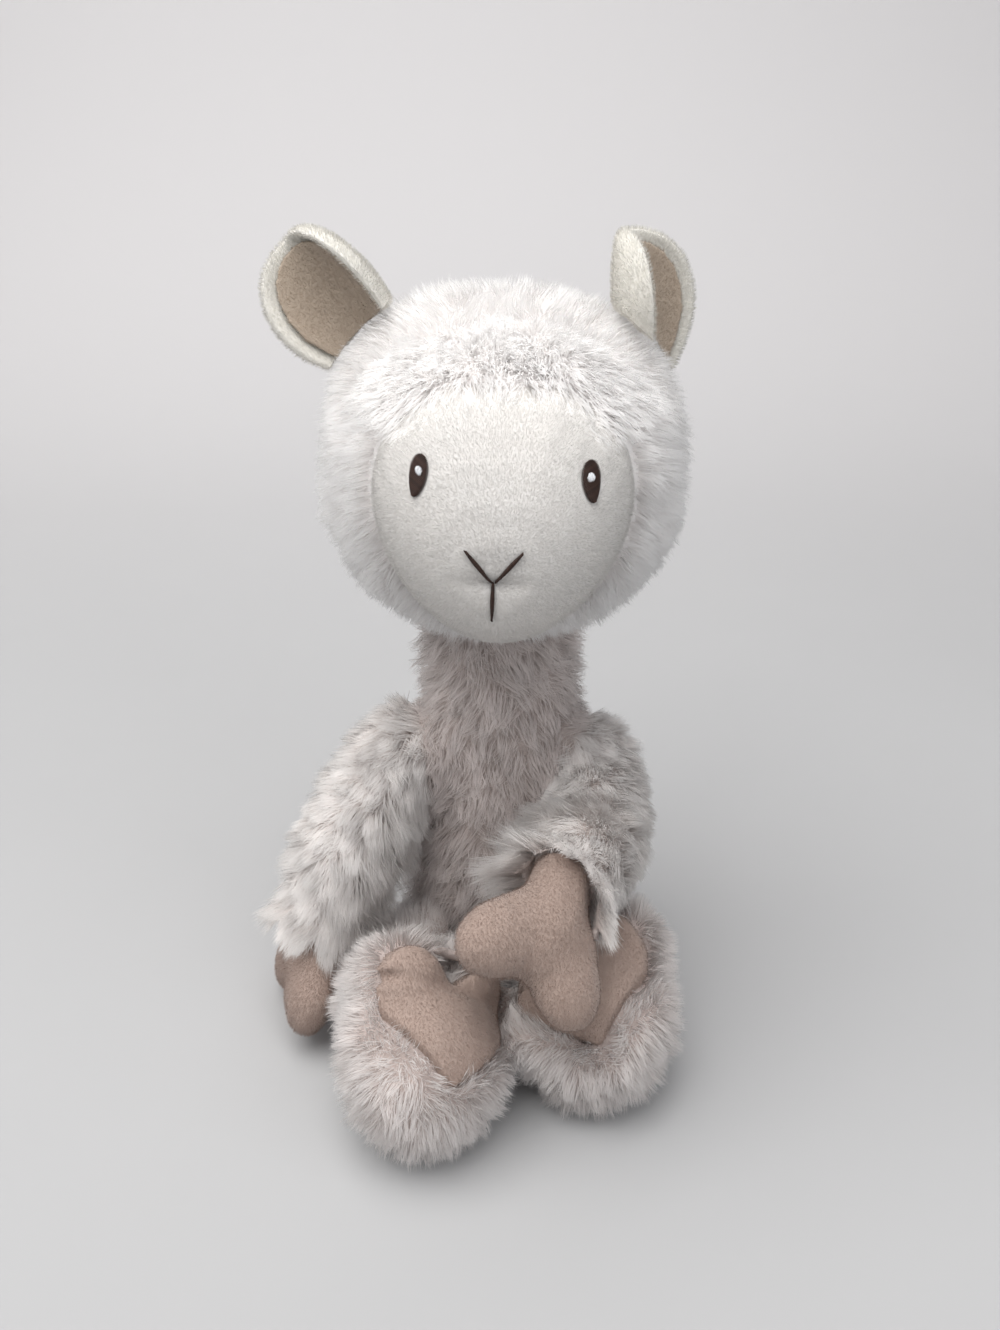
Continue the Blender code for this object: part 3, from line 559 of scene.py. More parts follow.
@dataclass
class Skin:
    """A closed, stuffed skin made from CAD solids, which lies a depth inside them.

    Attributes:
        nodes: The solids that it is made from, closed into one.
        depth: How far it lies inside them.
        voxel: How fine it is.
        smoothing: How much it is smoothed.
        faces: About how many triangles it keeps; 0 keeps all.
        mesh: Its mesh.
        points: The mesh's points.
        normals: The normal at each point.
        corners: Three point numbers a triangle.
        tree: A search tree of its triangles.
        sink_steps: In how many steps it is drawn in to its depth.
    """

    nodes: tuple[str, ...]
    depth: float
    voxel: float = 0.0018
    smoothing: int = 6
    faces: int = 0
    mesh: bpy.types.Mesh = field(init=False)
    points: Array = field(init=False)
    normals: Array = field(init=False)
    corners: Array = field(init=False)
    tree: BVHTree = field(init=False)
    sink_steps: ClassVar[int] = 3

    def __post_init__(self) -> None:
        """Make the mesh and read it into arrays."""
        rough = new_object("skin", solids_of(self.nodes))
        self._modify(rough, "REMESH", mode="VOXEL", voxel_size=self.voxel)
        self._modify(rough, "SMOOTH", iterations=self.smoothing)
        for _ in range(self.sink_steps if self.depth else 0):
            self._modify(rough, "DISPLACE", strength=-self.depth / self.sink_steps, mid_level=0.0)
            self._modify(rough, "SMOOTH", iterations=2)
        self.mesh = self._evaluated(rough)
        if self.faces:
            rough.modifiers.clear()
            solid = rough.data
            rough.data = self.mesh
            bpy.data.meshes.remove(solid)
            share = self.faces / (2 * len(self.mesh.polygons))
            self._modify(rough, "DECIMATE", ratio=min(1.0, share))
            self.mesh = self._evaluated(rough)
        bpy.data.objects.remove(rough)
        self._rest()
        self.read()

    @staticmethod
    def _modify(rough: bpy.types.Object, kind: str, **settings: object) -> None:
        """Add a modifier.

        Args:
            rough: The object that gets it.
            kind: The modifier's type.
            settings: Its settings.
        """
        modifier = rough.modifiers.new(kind.lower(), kind)
        for key, value in settings.items():
            setattr(modifier, key, value)

    @staticmethod
    def _evaluated(rough: bpy.types.Object) -> bpy.types.Mesh:
        """Read an object as its modifiers shape it.

        Args:
            rough: The object.

        Returns:
            A new mesh of that shape.
        """
        bpy.context.view_layer.update()
        graph = bpy.context.evaluated_depsgraph_get()
        return bpy.data.meshes.new_from_object(rough.evaluated_get(graph))

    def _rest(self) -> None:
        """Keep the skin off the floor."""
        for vert in self.mesh.vertices:
            vert.co.z = max(vert.co.z, FLOOR_CLEARANCE)

    def read(self) -> None:
        """Read the mesh into arrays and a search tree."""
        mesh = self.mesh
        mesh.calc_loop_triangles()
        self.points = np.empty(len(mesh.vertices) * 3)
        mesh.vertices.foreach_get("co", self.points)
        self.points = self.points.reshape(-1, 3)
        self.normals = np.empty(len(mesh.vertices) * 3)
        mesh.vertices.foreach_get("normal", self.normals)
        self.normals = self.normals.reshape(-1, 3)
        self.corners = np.empty(len(mesh.loop_triangles) * 3, dtype=np.int32)
        mesh.loop_triangles.foreach_get("vertices", self.corners)
        self.corners = self.corners.reshape(-1, 3)
        self.tree = BVHTree.FromPolygons([Vector(point) for point in self.points],
                                         self.corners.tolist())

    def shared(self, nodes: Sequence[str], panels: dict[str, str]) -> dict[str, Skin]:
        """Share the skin out among nodes, each triangle to the one whose solid is nearest.

        Args:
            nodes: The nodes.
            panels: The node let into some of them, below which their cloth runs on.

        Returns:
            Each node's own part of the skin.
        """
        trees = [near([node]) for node in nodes]
        middles = [Vector(middle) for middle in self.points[self.corners].mean(axis=1)]
        owner = np.array([[tree.find_nearest(middle)[3] for tree in trees]
                          for middle in middles]).argmin(axis=1)
        parts = {}
        for index, node in enumerate(nodes):
            part = copy.copy(self)
            part.corners = self.corners[owner == index]
            panel = [place for place, other in enumerate(nodes) if other == panels.get(node)]
            corners = self.corners[np.isin(owner, [index, *panel])]
            used, numbers = np.unique(corners, return_inverse=True)
            part.mesh = bpy.data.meshes.new(node)
            part.mesh.from_pydata(self.points[used].tolist(), [],
                                  numbers.reshape(-1, 3).tolist())
            parts[node] = part
        return parts

    def draw_in(self, cuffs: dict[str, str], reach: float, margin: float = 0.001,
                curve: float = 1.3, rounds: int = 10) -> None:
        """Draw each cuff's skin in to what it holds, so that no bare edge stands off it.

        Args:
            cuffs: What each cuffed node holds.
            reach: How far from what it holds that fades out.
            margin: How much nearer a place may be to what is held and still be the cuff's.
            curve: How fast the pull fades; above 1 it stays strong near the edge.
            rounds: How often the drawn cloth is smoothed.
        """
        shape = bmesh.new()
        shape.from_mesh(self.mesh)
        for cuffed, held in cuffs.items():
            own, other = near([cuffed]), near([held])
            drawn = []
            for vert in shape.verts:
                hit, _, _, off = other.find_nearest(vert.co, reach)
                if off is not None and own.find_nearest(vert.co)[3] < off + margin:
                    vert.co = hit.lerp(vert.co, (off / reach) ** curve)
                    drawn.append(vert)
            for _ in range(rounds):
                bmesh.ops.smooth_vert(shape, verts=drawn, factor=0.5, use_axis_x=True,
                                      use_axis_y=True, use_axis_z=True)
        shape.to_mesh(self.mesh)
        shape.free()
        self.read()

    @property
    def areas(self) -> Array:
        """The area of each triangle."""
        first, second, third = (self.points[self.corners[:, corner]] for corner in range(3))
        return np.linalg.norm(np.cross(second - first, third - first), axis=1) / 2

    def scatter(self, count: int, rng: np.random.Generator) -> tuple[Array, Array]:
        """Scatter places evenly over the skin.

        Args:
            count: How many places.
            rng: The source of chance.

        Returns:
            The places, and the skin's normal at each.
        """
        reach = np.cumsum(self.areas)
        picks = np.searchsorted(reach, (np.arange(count) + rng.random(count)) / count * reach[-1])
        corners = self.corners[np.minimum(picks, len(reach) - 1)]
        second, third = rng.random((2, count))
        over = second + third > 1
        second[over], third[over] = 1 - second[over], 1 - third[over]
        shares = np.stack([1 - second - third, second, third], axis=1)[:, :, None]
        return ((self.points[corners] * shares).sum(axis=1),
                unit((self.normals[corners] * shares).sum(axis=1)))


def near(nodes: Sequence[str]) -> BVHTree:
    """Make a search tree of the solids of some nodes.

    Args:
        nodes: The nodes.

    Returns:
        The tree.
    """
    mesh = solids_of(nodes)
    tree = BVHTree.FromPolygons([vert.co for vert in mesh.vertices],
                                [face.vertices for face in mesh.polygons])
    bpy.data.meshes.remove(mesh)
    return tree


def distance_to(node: str, points: Array) -> Array:
    """Return how far places lie from the solid of a node."""
    tree = near([node])
    return np.array([tree.find_nearest(Vector(point))[3] for point in points])


# Pile


@dataclass(frozen=True)
class Pile:
    """How a cloth's pile is cut, stands and locks together.

    Attributes:
        length: Length of a blade.
        width: Width of a blade at its root.
        lift: How upright it stands, from 0, flat, to 1.
        lock: Distance between locks.
        gather: How far a lock's tips draw together, from 0 to 1.
        sway: How far each lock leans its own way.
        unruly: How far each blade leans its own way.
        uneven: How much the lengths differ.
        bends: Straight pieces in a blade.
        droop: How much the tips sink under their weight.
        rounding: How much shorter the blades are at a lock's edge.
    """

    length: float
    width: float
    lift: float
    lock: float
    gather: float
    sway: float = 0.25
    unruly: float = 0.25
    uneven: float = 0.35
    bends: int = 2
    droop: float = 0.0
    rounding: float = 0.0


# How far single blades and locks stray from the cut, as shares of it

PULL_SPREAD = (0.7, 1.15)
MOST_PULL = 0.94
LIFT_SPREAD = (0.75, 1.2)
WIDTH_SPREAD = (0.75, 1.25)
TWIST_SPREAD = 0.28
LOCK_SPREAD = 0.18
LOCK_SHARE = 0.45

# How a blade leans at its root and its tip, narrows, draws in and takes the light

ROOT_LEAN = 0.6
TIP_RISE = 0.8
TIP_LEAN = 1.05
TAPER = 0.75
GATHER_CURVE = 1.3
ROUNDNESS = 0.45


def down(points: Array, normals: Array) -> Array:
    """Comb the pile straight down."""
    return np.broadcast_to(np.array((0.0, 0.0, -1.0)), points.shape)


@dataclass
class Coat:
    """Pile that grows on a skin.

    Attributes:
        name: The piece's name.
        skin: Where it roots.
        pile: How it is cut.
        finish: Its colours.
        count: How many blades are sown; some fall where none may grow.
        comb: The way it is combed.
        keep: Where it may grow.
        reach: Length of each blade as a share of the cut.
        stand: How upright each blade is as a share of the cut.
        facing: The way that the skin faces, where it differs from its own normals.
        seed: The seed of its chance.
        shades: Whether its blades shade what lies behind them.
    """

    name: str
    skin: Skin
    pile: Pile
    finish: bpy.types.Material
    count: int
    comb: OverSkin = down
    keep: OverSkin | None = None
    reach: OverSkin | None = None
    stand: OverSkin | None = None
    facing: OverSkin | None = None
    seed: int = 1
    shades: bool = True

    def layers(self, share: float = 0.3) -> list[Coat]:
        """Split the pile into an under layer that shades and a loose outer one that doesn't.

        Args:
            share: The under layer's share of the blades.

        Returns:
            The two layers.
        """
        under = replace(self, name=self.name + "_under", count=int(self.count * share),
                        seed=self.seed + 100)
        return [under, replace(self, count=self.count - under.count, shades=False)]

    def build(self) -> bpy.types.Object:
        """Grow the pile.

        Returns:
            The pile as one piece.
        """
        rng = np.random.default_rng(self.seed)
        count = self.count
        roots, normals = self.skin.scatter(count, rng)
        if self.keep is not None:
            kept = self.keep(roots, normals)
            roots, normals = roots[kept], normals[kept]
        if self.facing is not None:
            normals = self.facing(roots, normals)
        locks = self._locks(roots, rng)
        path = self._paths(roots, normals, locks, rng)
        pull = self.pile.gather * rng.uniform(*PULL_SPREAD, len(roots))[locks]
        shares = np.linspace(0, 1, self.pile.bends + 1)[None, :, None] ** GATHER_CURVE
        path += (path[locks] - path) * shares * np.minimum(pull, MOST_PULL)[:, None, None]
        path[:, :, 2] = np.maximum(path[:, :, 2], FLOOR_CLEARANCE)
        made = self._blades(path, normals, locks, rng)
        made.visible_shadow = self.shades
        log.info("%s: %d blades, %d triangles", self.name, len(roots), len(made.data.polygons))
        return made

    def _locks(self, roots: Array, rng: np.random.Generator) -> Array:
        """Share the roots out among locks.

        Args:
            roots: Where the blades root.
            rng: The source of chance.

        Returns:
            For each root, the number of the root in the middle of its lock.
        """
        total = max(8, int(self.skin.areas.sum() / self.pile.lock ** 2))
        middles = rng.choice(len(roots), size=min(total, len(roots)), replace=False)
        tree = KDTree(len(middles))
        for middle in middles:
            tree.insert(Vector(roots[middle]), int(middle))
        tree.balance()
        wander = rng.normal(0, self.pile.lock * LOCK_SPREAD, roots.shape)
        return np.array([tree.find(Vector(place))[1] for place in roots + wander])

    def _paths(self, roots: Array, normals: Array, locks: Array,
               rng: np.random.Generator) -> Array:
        """Bend the blades, before their locks draw together.

        Args:
            roots: Where they root.
            normals: The way that the skin faces there.
            locks: The number of the root in the middle of each one's lock.
            rng: The source of chance.

        Returns:
            The points along each blade.
        """
        pile = self.pile
        count = len(roots)
        lean = rng.normal(0, 1, (count, 3))
        flow = combed(unit(self.comb(roots, normals)) + lean[locks] * pile.sway
                      + lean * pile.unruly, normals)
        lift = np.full(count, pile.lift)
        if self.stand is not None:
            lift = np.clip(lift * self.stand(roots, normals), 0.02, 1.0)
        lift = lift[:, None] * rng.uniform(*LIFT_SPREAD, (count, 1))
        rise = unit(normals * np.sqrt(lift) + flow * (1 - lift) * ROOT_LEAN)
        fall = unit(normals * lift * TIP_RISE + flow * (TIP_LEAN - lift)
                    + np.array((0.0, 0.0, -pile.droop)))
        chance = rng.random(count)
        short = (1 - LOCK_SHARE) * chance + LOCK_SHARE * chance[locks]
        size = pile.length * (1 - pile.uneven * short)
        if self.reach is not None:
            size = size * self.reach(roots, normals)
        aside = np.linalg.norm(roots - roots[locks], axis=1) / pile.lock
        size = size * (1 - pile.rounding * np.minimum(aside, 1.0) ** 2)
        shares = np.linspace(0, 1, pile.bends + 1)[None, :, None]
        bend = rise[:, None] * (shares - shares ** 2 / 2) + fall[:, None] * shares ** 2 / 2
        return roots[:, None] + size[:, None, None] * bend

    def _blades(self, path: Array, normals: Array, locks: Array,
                rng: np.random.Generator) -> bpy.types.Object:
        """Give the blades their width and make the mesh.

        Args:
            path: The points along each blade.
            normals: The way that the skin faces at its root.
            locks: The number of the root in the middle of its lock.
            rng: The source of chance.

        Returns:
            The piece.
        """
        count, rows = path.shape[:2]
        bends = rows - 1
        along = unit(np.diff(path, axis=1, append=path[:, -1:] * 2 - path[:, -2:-1]))
        facing = unit(normals + rng.normal(0, TWIST_SPREAD, normals.shape))
        side = unit(np.cross(along, facing[:, None]))
        outward = unit(np.cross(side, along))
        flip = np.where((outward * normals[:, None]).sum(axis=-1, keepdims=True) < 0, -1.0, 1.0)
        side, outward = side * flip, outward * flip
        taper = (1 - np.linspace(0, 1, rows)) ** TAPER
        half = self.pile.width / 2 * rng.uniform(*WIDTH_SPREAD, count)[:, None, None]
        offset = side * half * taper[None, :, None]
        points = np.empty((count, 2 * bends + 1, 3))
        points[:, 0:-1:2] = (path - offset)[:, :-1]
        points[:, 1:-1:2] = (path + offset)[:, :-1]
        points[:, -1] = path[:, -1]
        points[:, :, 2] = np.maximum(points[:, :, 2], FLOOR_CLEARANCE)
        soft = unit(normals[:, None] + outward * ROUNDNESS)
        soft = np.concatenate([np.repeat(soft[:, :-1], 2, axis=1), soft[:, -1:]], axis=1)
        shade = self._shades(points.shape[:2], rows, rng.random(count), locks)
        mesh = raw_mesh(self.name, points.reshape(-1, 3), self._corners(count, bends),
                        shade.reshape(-1, 4))
        made = new_object(self.name, mesh, self.finish)
        mesh.normals_split_custom_set_from_vertices(soft.reshape(-1, 3))
        return made

    @staticmethod
    def _corners(count: int, bends: int) -> Array:
        """Join the points of the blades into triangles.

        Args:
            count: How many blades.
            bends: Straight pieces in a blade, the last of which ends in a point.

        Returns:
            Three point numbers a triangle.
        """
        corners = []
        for row in range(bends - 1):
            left, right = 2 * row, 2 * row + 1
            corners += [(left, right, right + 2), (left, right + 2, left + 2)]
        corners.append((2 * bends - 2, 2 * bends - 1, 2 * bends))
        starts = np.arange(count)[:, None, None] * (2 * bends + 1)
        return (np.array(corners)[None] + starts).reshape(-1, 3)

    @staticmethod
    def _shades(shape: tuple[int, int], rows: int, chance: Array, locks: Array) -> Array:
        """Work out what each point tells its material.

        Args:
            shape: How many blades, and how many points each has.
            rows: How many places along a blade its points lie at.
            chance: A number from 0 to 1 for each blade.
            locks: The number of the root in the middle of its lock.

        Returns:
            The share of the way up, the blade's number and its lock's, and 1.
        """
        levels = np.linspace(0, 1, rows)
        shade = np.ones((*shape, 4))
        shade[:, :, 0] = np.concatenate([np.repeat(levels[:-1], 2), levels[-1:]])[None]
        shade[:, :, 1] = chance[:, None]
        shade[:, :, 2] = chance[locks][:, None]
        return shade


def paint(mesh: bpy.types.Mesh, name: str, shade: Array) -> None:
    """Give a mesh a colour attribute, from four channels a point."""
    colours = mesh.color_attributes.new(name, "FLOAT_COLOR", "POINT")
    colours.data.foreach_set("color", shade.astype(np.float32).ravel())


def raw_mesh(name: str, points: Array, faces: Array, shade: Array) -> bpy.types.Mesh:
    """Make a mesh of triangles from arrays.

    Args:
        name: The mesh's name.
        points: Places of its points.
        faces: Three point numbers a triangle.
        shade: Four channels a point, kept as the colour attribute "pile".

    Returns:
        The mesh.
    """
    mesh = bpy.data.meshes.new(name)
    mesh.vertices.add(len(points))
    mesh.vertices.foreach_set("co", points.astype(np.float32).ravel())
    mesh.loops.add(len(faces) * 3)
    mesh.loops.foreach_set("vertex_index", faces.astype(np.int32).ravel())
    mesh.polygons.add(len(faces))
    mesh.polygons.foreach_set("loop_start", np.arange(0, len(faces) * 3, 3, dtype=np.int32))
    mesh.update(calc_edges=True)
    paint(mesh, "pile", shade)
    return mesh


@dataclass
class Bag:
    """One stuffed bag of the toy: its skin and the pile on it.

    Attributes:
        name: What the bag is called.
        replaced: The nodes that it stands for.
        slot: The record's material slot; not used.
        skin: Its skin.
        finish: Its finish.
        coats: The layers of its pile.
        fill: How full it is stuffed; not used.
        grain: Grains a metre on the cloth itself.
        relief: Height of the cloth's own nap.
        seam: How much painted shade each place gets for lying down in a seam or a fold, from 0 to 1.
    """

    name: str
    replaced: tuple[str, ...]
    slot: str
    skin: Skin
    finish: PileFinish
    coats: list[Coat]
    fill: float = 0.8
    grain: float = 1400.0
    relief: float = 0.0006
    seam: OverSkin | None = None

    def build(self) -> None:
        """Make the skin, and grow the pile on it."""
        cloth = new_object(self.name, self.skin.mesh, self.finish.cloth(self.grain, self.relief))
        # Painted shade for seams and folds, kept as a colour attribute.
        if self.seam is not None:
            shade = np.ones((len(self.skin.points), 4))
            shade[:, :3] = np.clip(self.seam(self.skin.points, self.skin.normals), 0, 1)[:, None]
            paint(cloth.data, "seam", shade)
        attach(cloth, "root")
        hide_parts(*self.replaced)
        for coat in self.coats:
            pile = coat.build()
            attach(pile, "root")
        log.info("%s: %d faces in its skin", self.name, len(cloth.data.polygons))


# Head


def on_head(x: float, y: float, z: float) -> Vector:
    """Return the world place of a place on the turned and tilted head."""
    return Vector(HEAD_CENTRE) + HEAD_AXES @ Vector((x, y, z))


def from_head(points: Array) -> Array:
    """Return places in the head's own axes."""
    return (points - HEAD_CENTRE) @ np.array(HEAD_AXES)


@dataclass
class Head:
    """The hood of long pile and the smooth face let into its front.

    Attributes:
        face_half_width: Half the face's width.
        face_half_height: Half the face's height.
        face_aside: How far its middle lies to the right.
        face_drop: How far its middle lies below the head's.
        hood_depth: How deep the hood's pile is.
        face_depth: How deep the face's nap is.
        brow: How high the brow's locks begin.
        fringe_sides: How much higher the fringe begins for each metre to a side.
        fringe_band: Where the fringe roots, as shares of the face's rim.
        tuft_width: Width of the tuft in the fringe's middle.
        muzzle: The Y before which the muzzle lies.
        fold_drop: How low the fold across the nose lies.
        fold_width: Width of that fold.
        neck: Radius of the neck's opening.
        hood_edge: Where the hood's pile begins, as a share of the face's rim.
        nap_edge: Where the face's nap ends.
        seam_band: Where the painted shade along the seam fades in.
        embroidery: The stitches on the face.
    """

    face_half_width: float = 0.0385
    face_half_height: float = 0.0385
    face_aside: float = 0.001
    face_drop: float = 0.0015
    hood_depth: float = 0.0055
    face_depth: float = 0.0006
    brow: float = 0.012
    fringe_sides: float = 0.3
    fringe_band: tuple[float, float] = (0.80, 1.22)
    tuft_width: float = 0.008
    muzzle: float = -0.030
    fold_drop: float = 0.0105
    fold_width: float = 0.0085
    neck: float = 0.020
    hood_edge: float = 0.985
    nap_edge: float = 0.96
    seam_band: tuple[float, float] = (0.93, 1.01)
    embroidery: Embroidery | None = None

    def rim(self, place: Array) -> Array:
        """Tell how far out places lie from the middle of the face.

        Args:
            place: Places in the head's own axes.

        Returns:
            0 in the middle of the face, and 1 at its rim.
        """
        egg = 1 + 0.13 * np.clip(place[:, 2] / self.face_half_height, -1, 1)
        return np.hypot((place[:, 0] - self.face_aside) / (self.face_half_width * egg),
                        (place[:, 2] + self.face_drop) / self.face_half_height)

    def comb_hood(self, points: Array, normals: Array) -> Array:
        """Comb the hood: over the brow in front, and back and down elsewhere.

        Args:
            points: Places on the skin.
            normals: The way that the skin faces there; not used.

        Returns:
            The way that it is combed at each.
        """
        place = from_head(points)
        front = step(-place[:, 1], -0.005, 0.030)[:, None]
        top = step(place[:, 2], self.brow, 0.034)[:, None]
        side = np.sign(place[:, 0])
        apart = np.tanh((place[:, 0] - 0.002) / 0.012) * (self.rim(place) < 1.6)
        brow = ways(-0.55 * apart, -0.9, -0.35)
        cheek = ways(side * 0.5, 0.65, -0.75)
        crown = ways(0.15 * side, 0.15, -1.0)
        flow = front * (top * brow + (1 - top) * cheek) + (1 - front) * crown
        return flow + 0.35 * drift_of(points, size=0.020, seed=3.1)

    def keep_hood(self, points: Array, normals: Array) -> Array:
        """Grow hood pile outside the face and the neck.

        Args:
            points: Places on the skin.
            normals: The way that the skin faces there; not used.

        Returns:
            Whether it grows at each.
        """
        place = from_head(points)
        inside = (self.rim(place) < self.hood_edge) & (place[:, 1] < 0.004)
        neck = (np.hypot(place[:, 0], place[:, 1]) < self.neck) & (place[:, 2] < -0.030)
        return ~inside & ~neck

    def comb_fringe(self, points: Array, normals: Array) -> Array:
        """Comb the fringe down over the brow, with a tuft in its middle.

        Args:
            points: Places on the skin.
            normals: The way that the skin faces there; not used.

        Returns:
            The way that it is combed at each.
        """
        place = from_head(points)
        aside = place[:, 0] - self.face_aside
        tuft = -1.4 * aside / self.tuft_width * bell(aside, 0.0, self.tuft_width)
        return (ways(tuft * 0.4 + aside * 6.0, -0.45, -1.0)
                + 0.25 * drift_of(points, size=0.009, seed=9.3))

    def keep_fringe(self, points: Array, normals: Array) -> Array:
        """Root the fringe in a band along the top of the face's rim.

        Args:
            points: Places on the skin.
            normals: The way that the skin faces there; not used.

        Returns:
            Whether it grows at each.
        """
        place = from_head(points)
        rim = self.rim(place)
        top = place[:, 2] > self.brow + self.fringe_sides * np.abs(place[:, 0])
        inner, outer = self.fringe_band
        return (rim > inner) & (rim < outer) & top & (place[:, 1] < -0.012)

    def stand_hood(self, points: Array, normals: Array) -> Array:
        """Stand the pile up on the crown and round the face's rim.

        Args:
            points: Places on the skin.
            normals: The way that the skin faces there; not used.

        Returns:
            How upright it stands, as a share of the cut.
        """
        place = from_head(points)
        edge = bell(self.rim(place), 1.05, 0.16) * (place[:, 1] < 0.0)
        return 1.0 + 0.15 * step(place[:, 2], 0.02, 0.05) + 0.25 * edge

    def comb_face(self, points: Array, normals: Array) -> Array:
        """Comb the face's nap outward from the muzzle.

        Args:
            points: Places on the skin.
            normals: The way that the skin faces there; not used.

        Returns:
            The way that it is combed at each.
        """
        place = from_head(points)
        flow = ways(place[:, 0] * 1.4, 0.004, place[:, 2] + 0.012)
        return unit(flow) + 0.45 * drift_of(points, size=0.007, seed=7.7)

    def keep_face(self, points: Array, normals: Array) -> Array:
        """Grow nap on the front of the face, clear of the stitches.

        Args:
            points: Places on the skin.
            normals: The way that the skin faces there; not used.

        Returns:
            Whether it grows at each.
        """
        place = from_head(points)
        front = (place[:, 1] < -0.026) & (self.rim(place) < self.nap_edge)
        return front & ~self.embroidery.covers(place)

    def seam(self, points: Array, normals: Array) -> Array:
        """Paint shade on the face's rim and in the folds beside its nose.

        Args:
            points: Places on the skin.
            normals: The way that the skin faces there; not used.

        Returns:
            How much painted shade each gets, from 0 to 1.
        """
        place = from_head(points)
        fold = (bell(place[:, 0], 0.0, self.fold_width)
                * bell(place[:, 2], -self.fold_drop, 0.0012) * (place[:, 1] < self.muzzle))
        return step(self.rim(place), *self.seam_band) + 0.5 * fold

    def dent(self, skin: Skin) -> None:
        """Press the face in where the nose and mouth are sewn through it.

        Args:
            skin: The face's skin.
        """
        place = from_head(skin.points)
        across, up = place[:, 0], place[:, 2]
        groove = bell(across, 0.0, self.fold_width) * bell(up, -self.fold_drop, 0.0018)
        line = bell(across, 0.0, 0.0014) * step(up, -0.024, -0.020) * (up < -0.010)
        depth = (place[:, 1] < self.muzzle) * (0.0011 * groove + 0.0006 * line)
        for vert, amount in zip(skin.mesh.vertices, depth.tolist()):
            vert.co -= vert.normal * amount
        skin.read()

    def build(self) -> None:
        """Make the hood, the face and the stitches on it."""
        hood_skin = Skin(("head_hood", "face"), self.hood_depth, voxel=0.0022, smoothing=8,
                         faces=9000)
        pile = Pile(length=0.0098, width=0.00042, lift=0.55, lock=0.0050, gather=0.40, sway=0.22,
                    unruly=0.22, rounding=0.25)
        coat = Coat("head_pile", hood_skin, pile, HOOD.fibre(), count=74000, comb=self.comb_hood,
                    keep=self.keep_hood, stand=self.stand_hood, seed=11)
        lock = Pile(length=0.0115, width=0.00056, lift=0.46, lock=0.0046, gather=0.38, sway=0.14,
                    unruly=0.14, rounding=0.30)
        fringe = Coat("fringe", hood_skin, lock, HOOD.fibre(), count=100000,
                      comb=self.comb_fringe, keep=self.keep_fringe, seed=13)
        Bag("head_hood_skin", ("head_hood",), "hood_pile", hood_skin, HOOD,
            coat.layers(0.25) + fringe.layers(0.2)).build()
        face_skin = Skin(("face",), self.face_depth, voxel=0.0011, smoothing=8)
        self.dent(face_skin)
        self.embroidery = Embroidery(face_skin)
        nap = Pile(length=0.0012, width=0.00018, lift=0.30, lock=0.0012, gather=0.12, sway=0.14,
                   unruly=0.16, bends=1)
        fuzz = Coat("face_nap", face_skin, nap, FACE.fibre(), count=84000, comb=self.comb_face,
                    keep=self.keep_face, seed=12)
        Bag("face_cloth", ("face",), "face_plush", face_skin, FACE, fuzz.layers(0.5), fill=0.9,
            relief=0.0004, seam=self.seam).build()
        self.embroidery.build()


# Embroidery


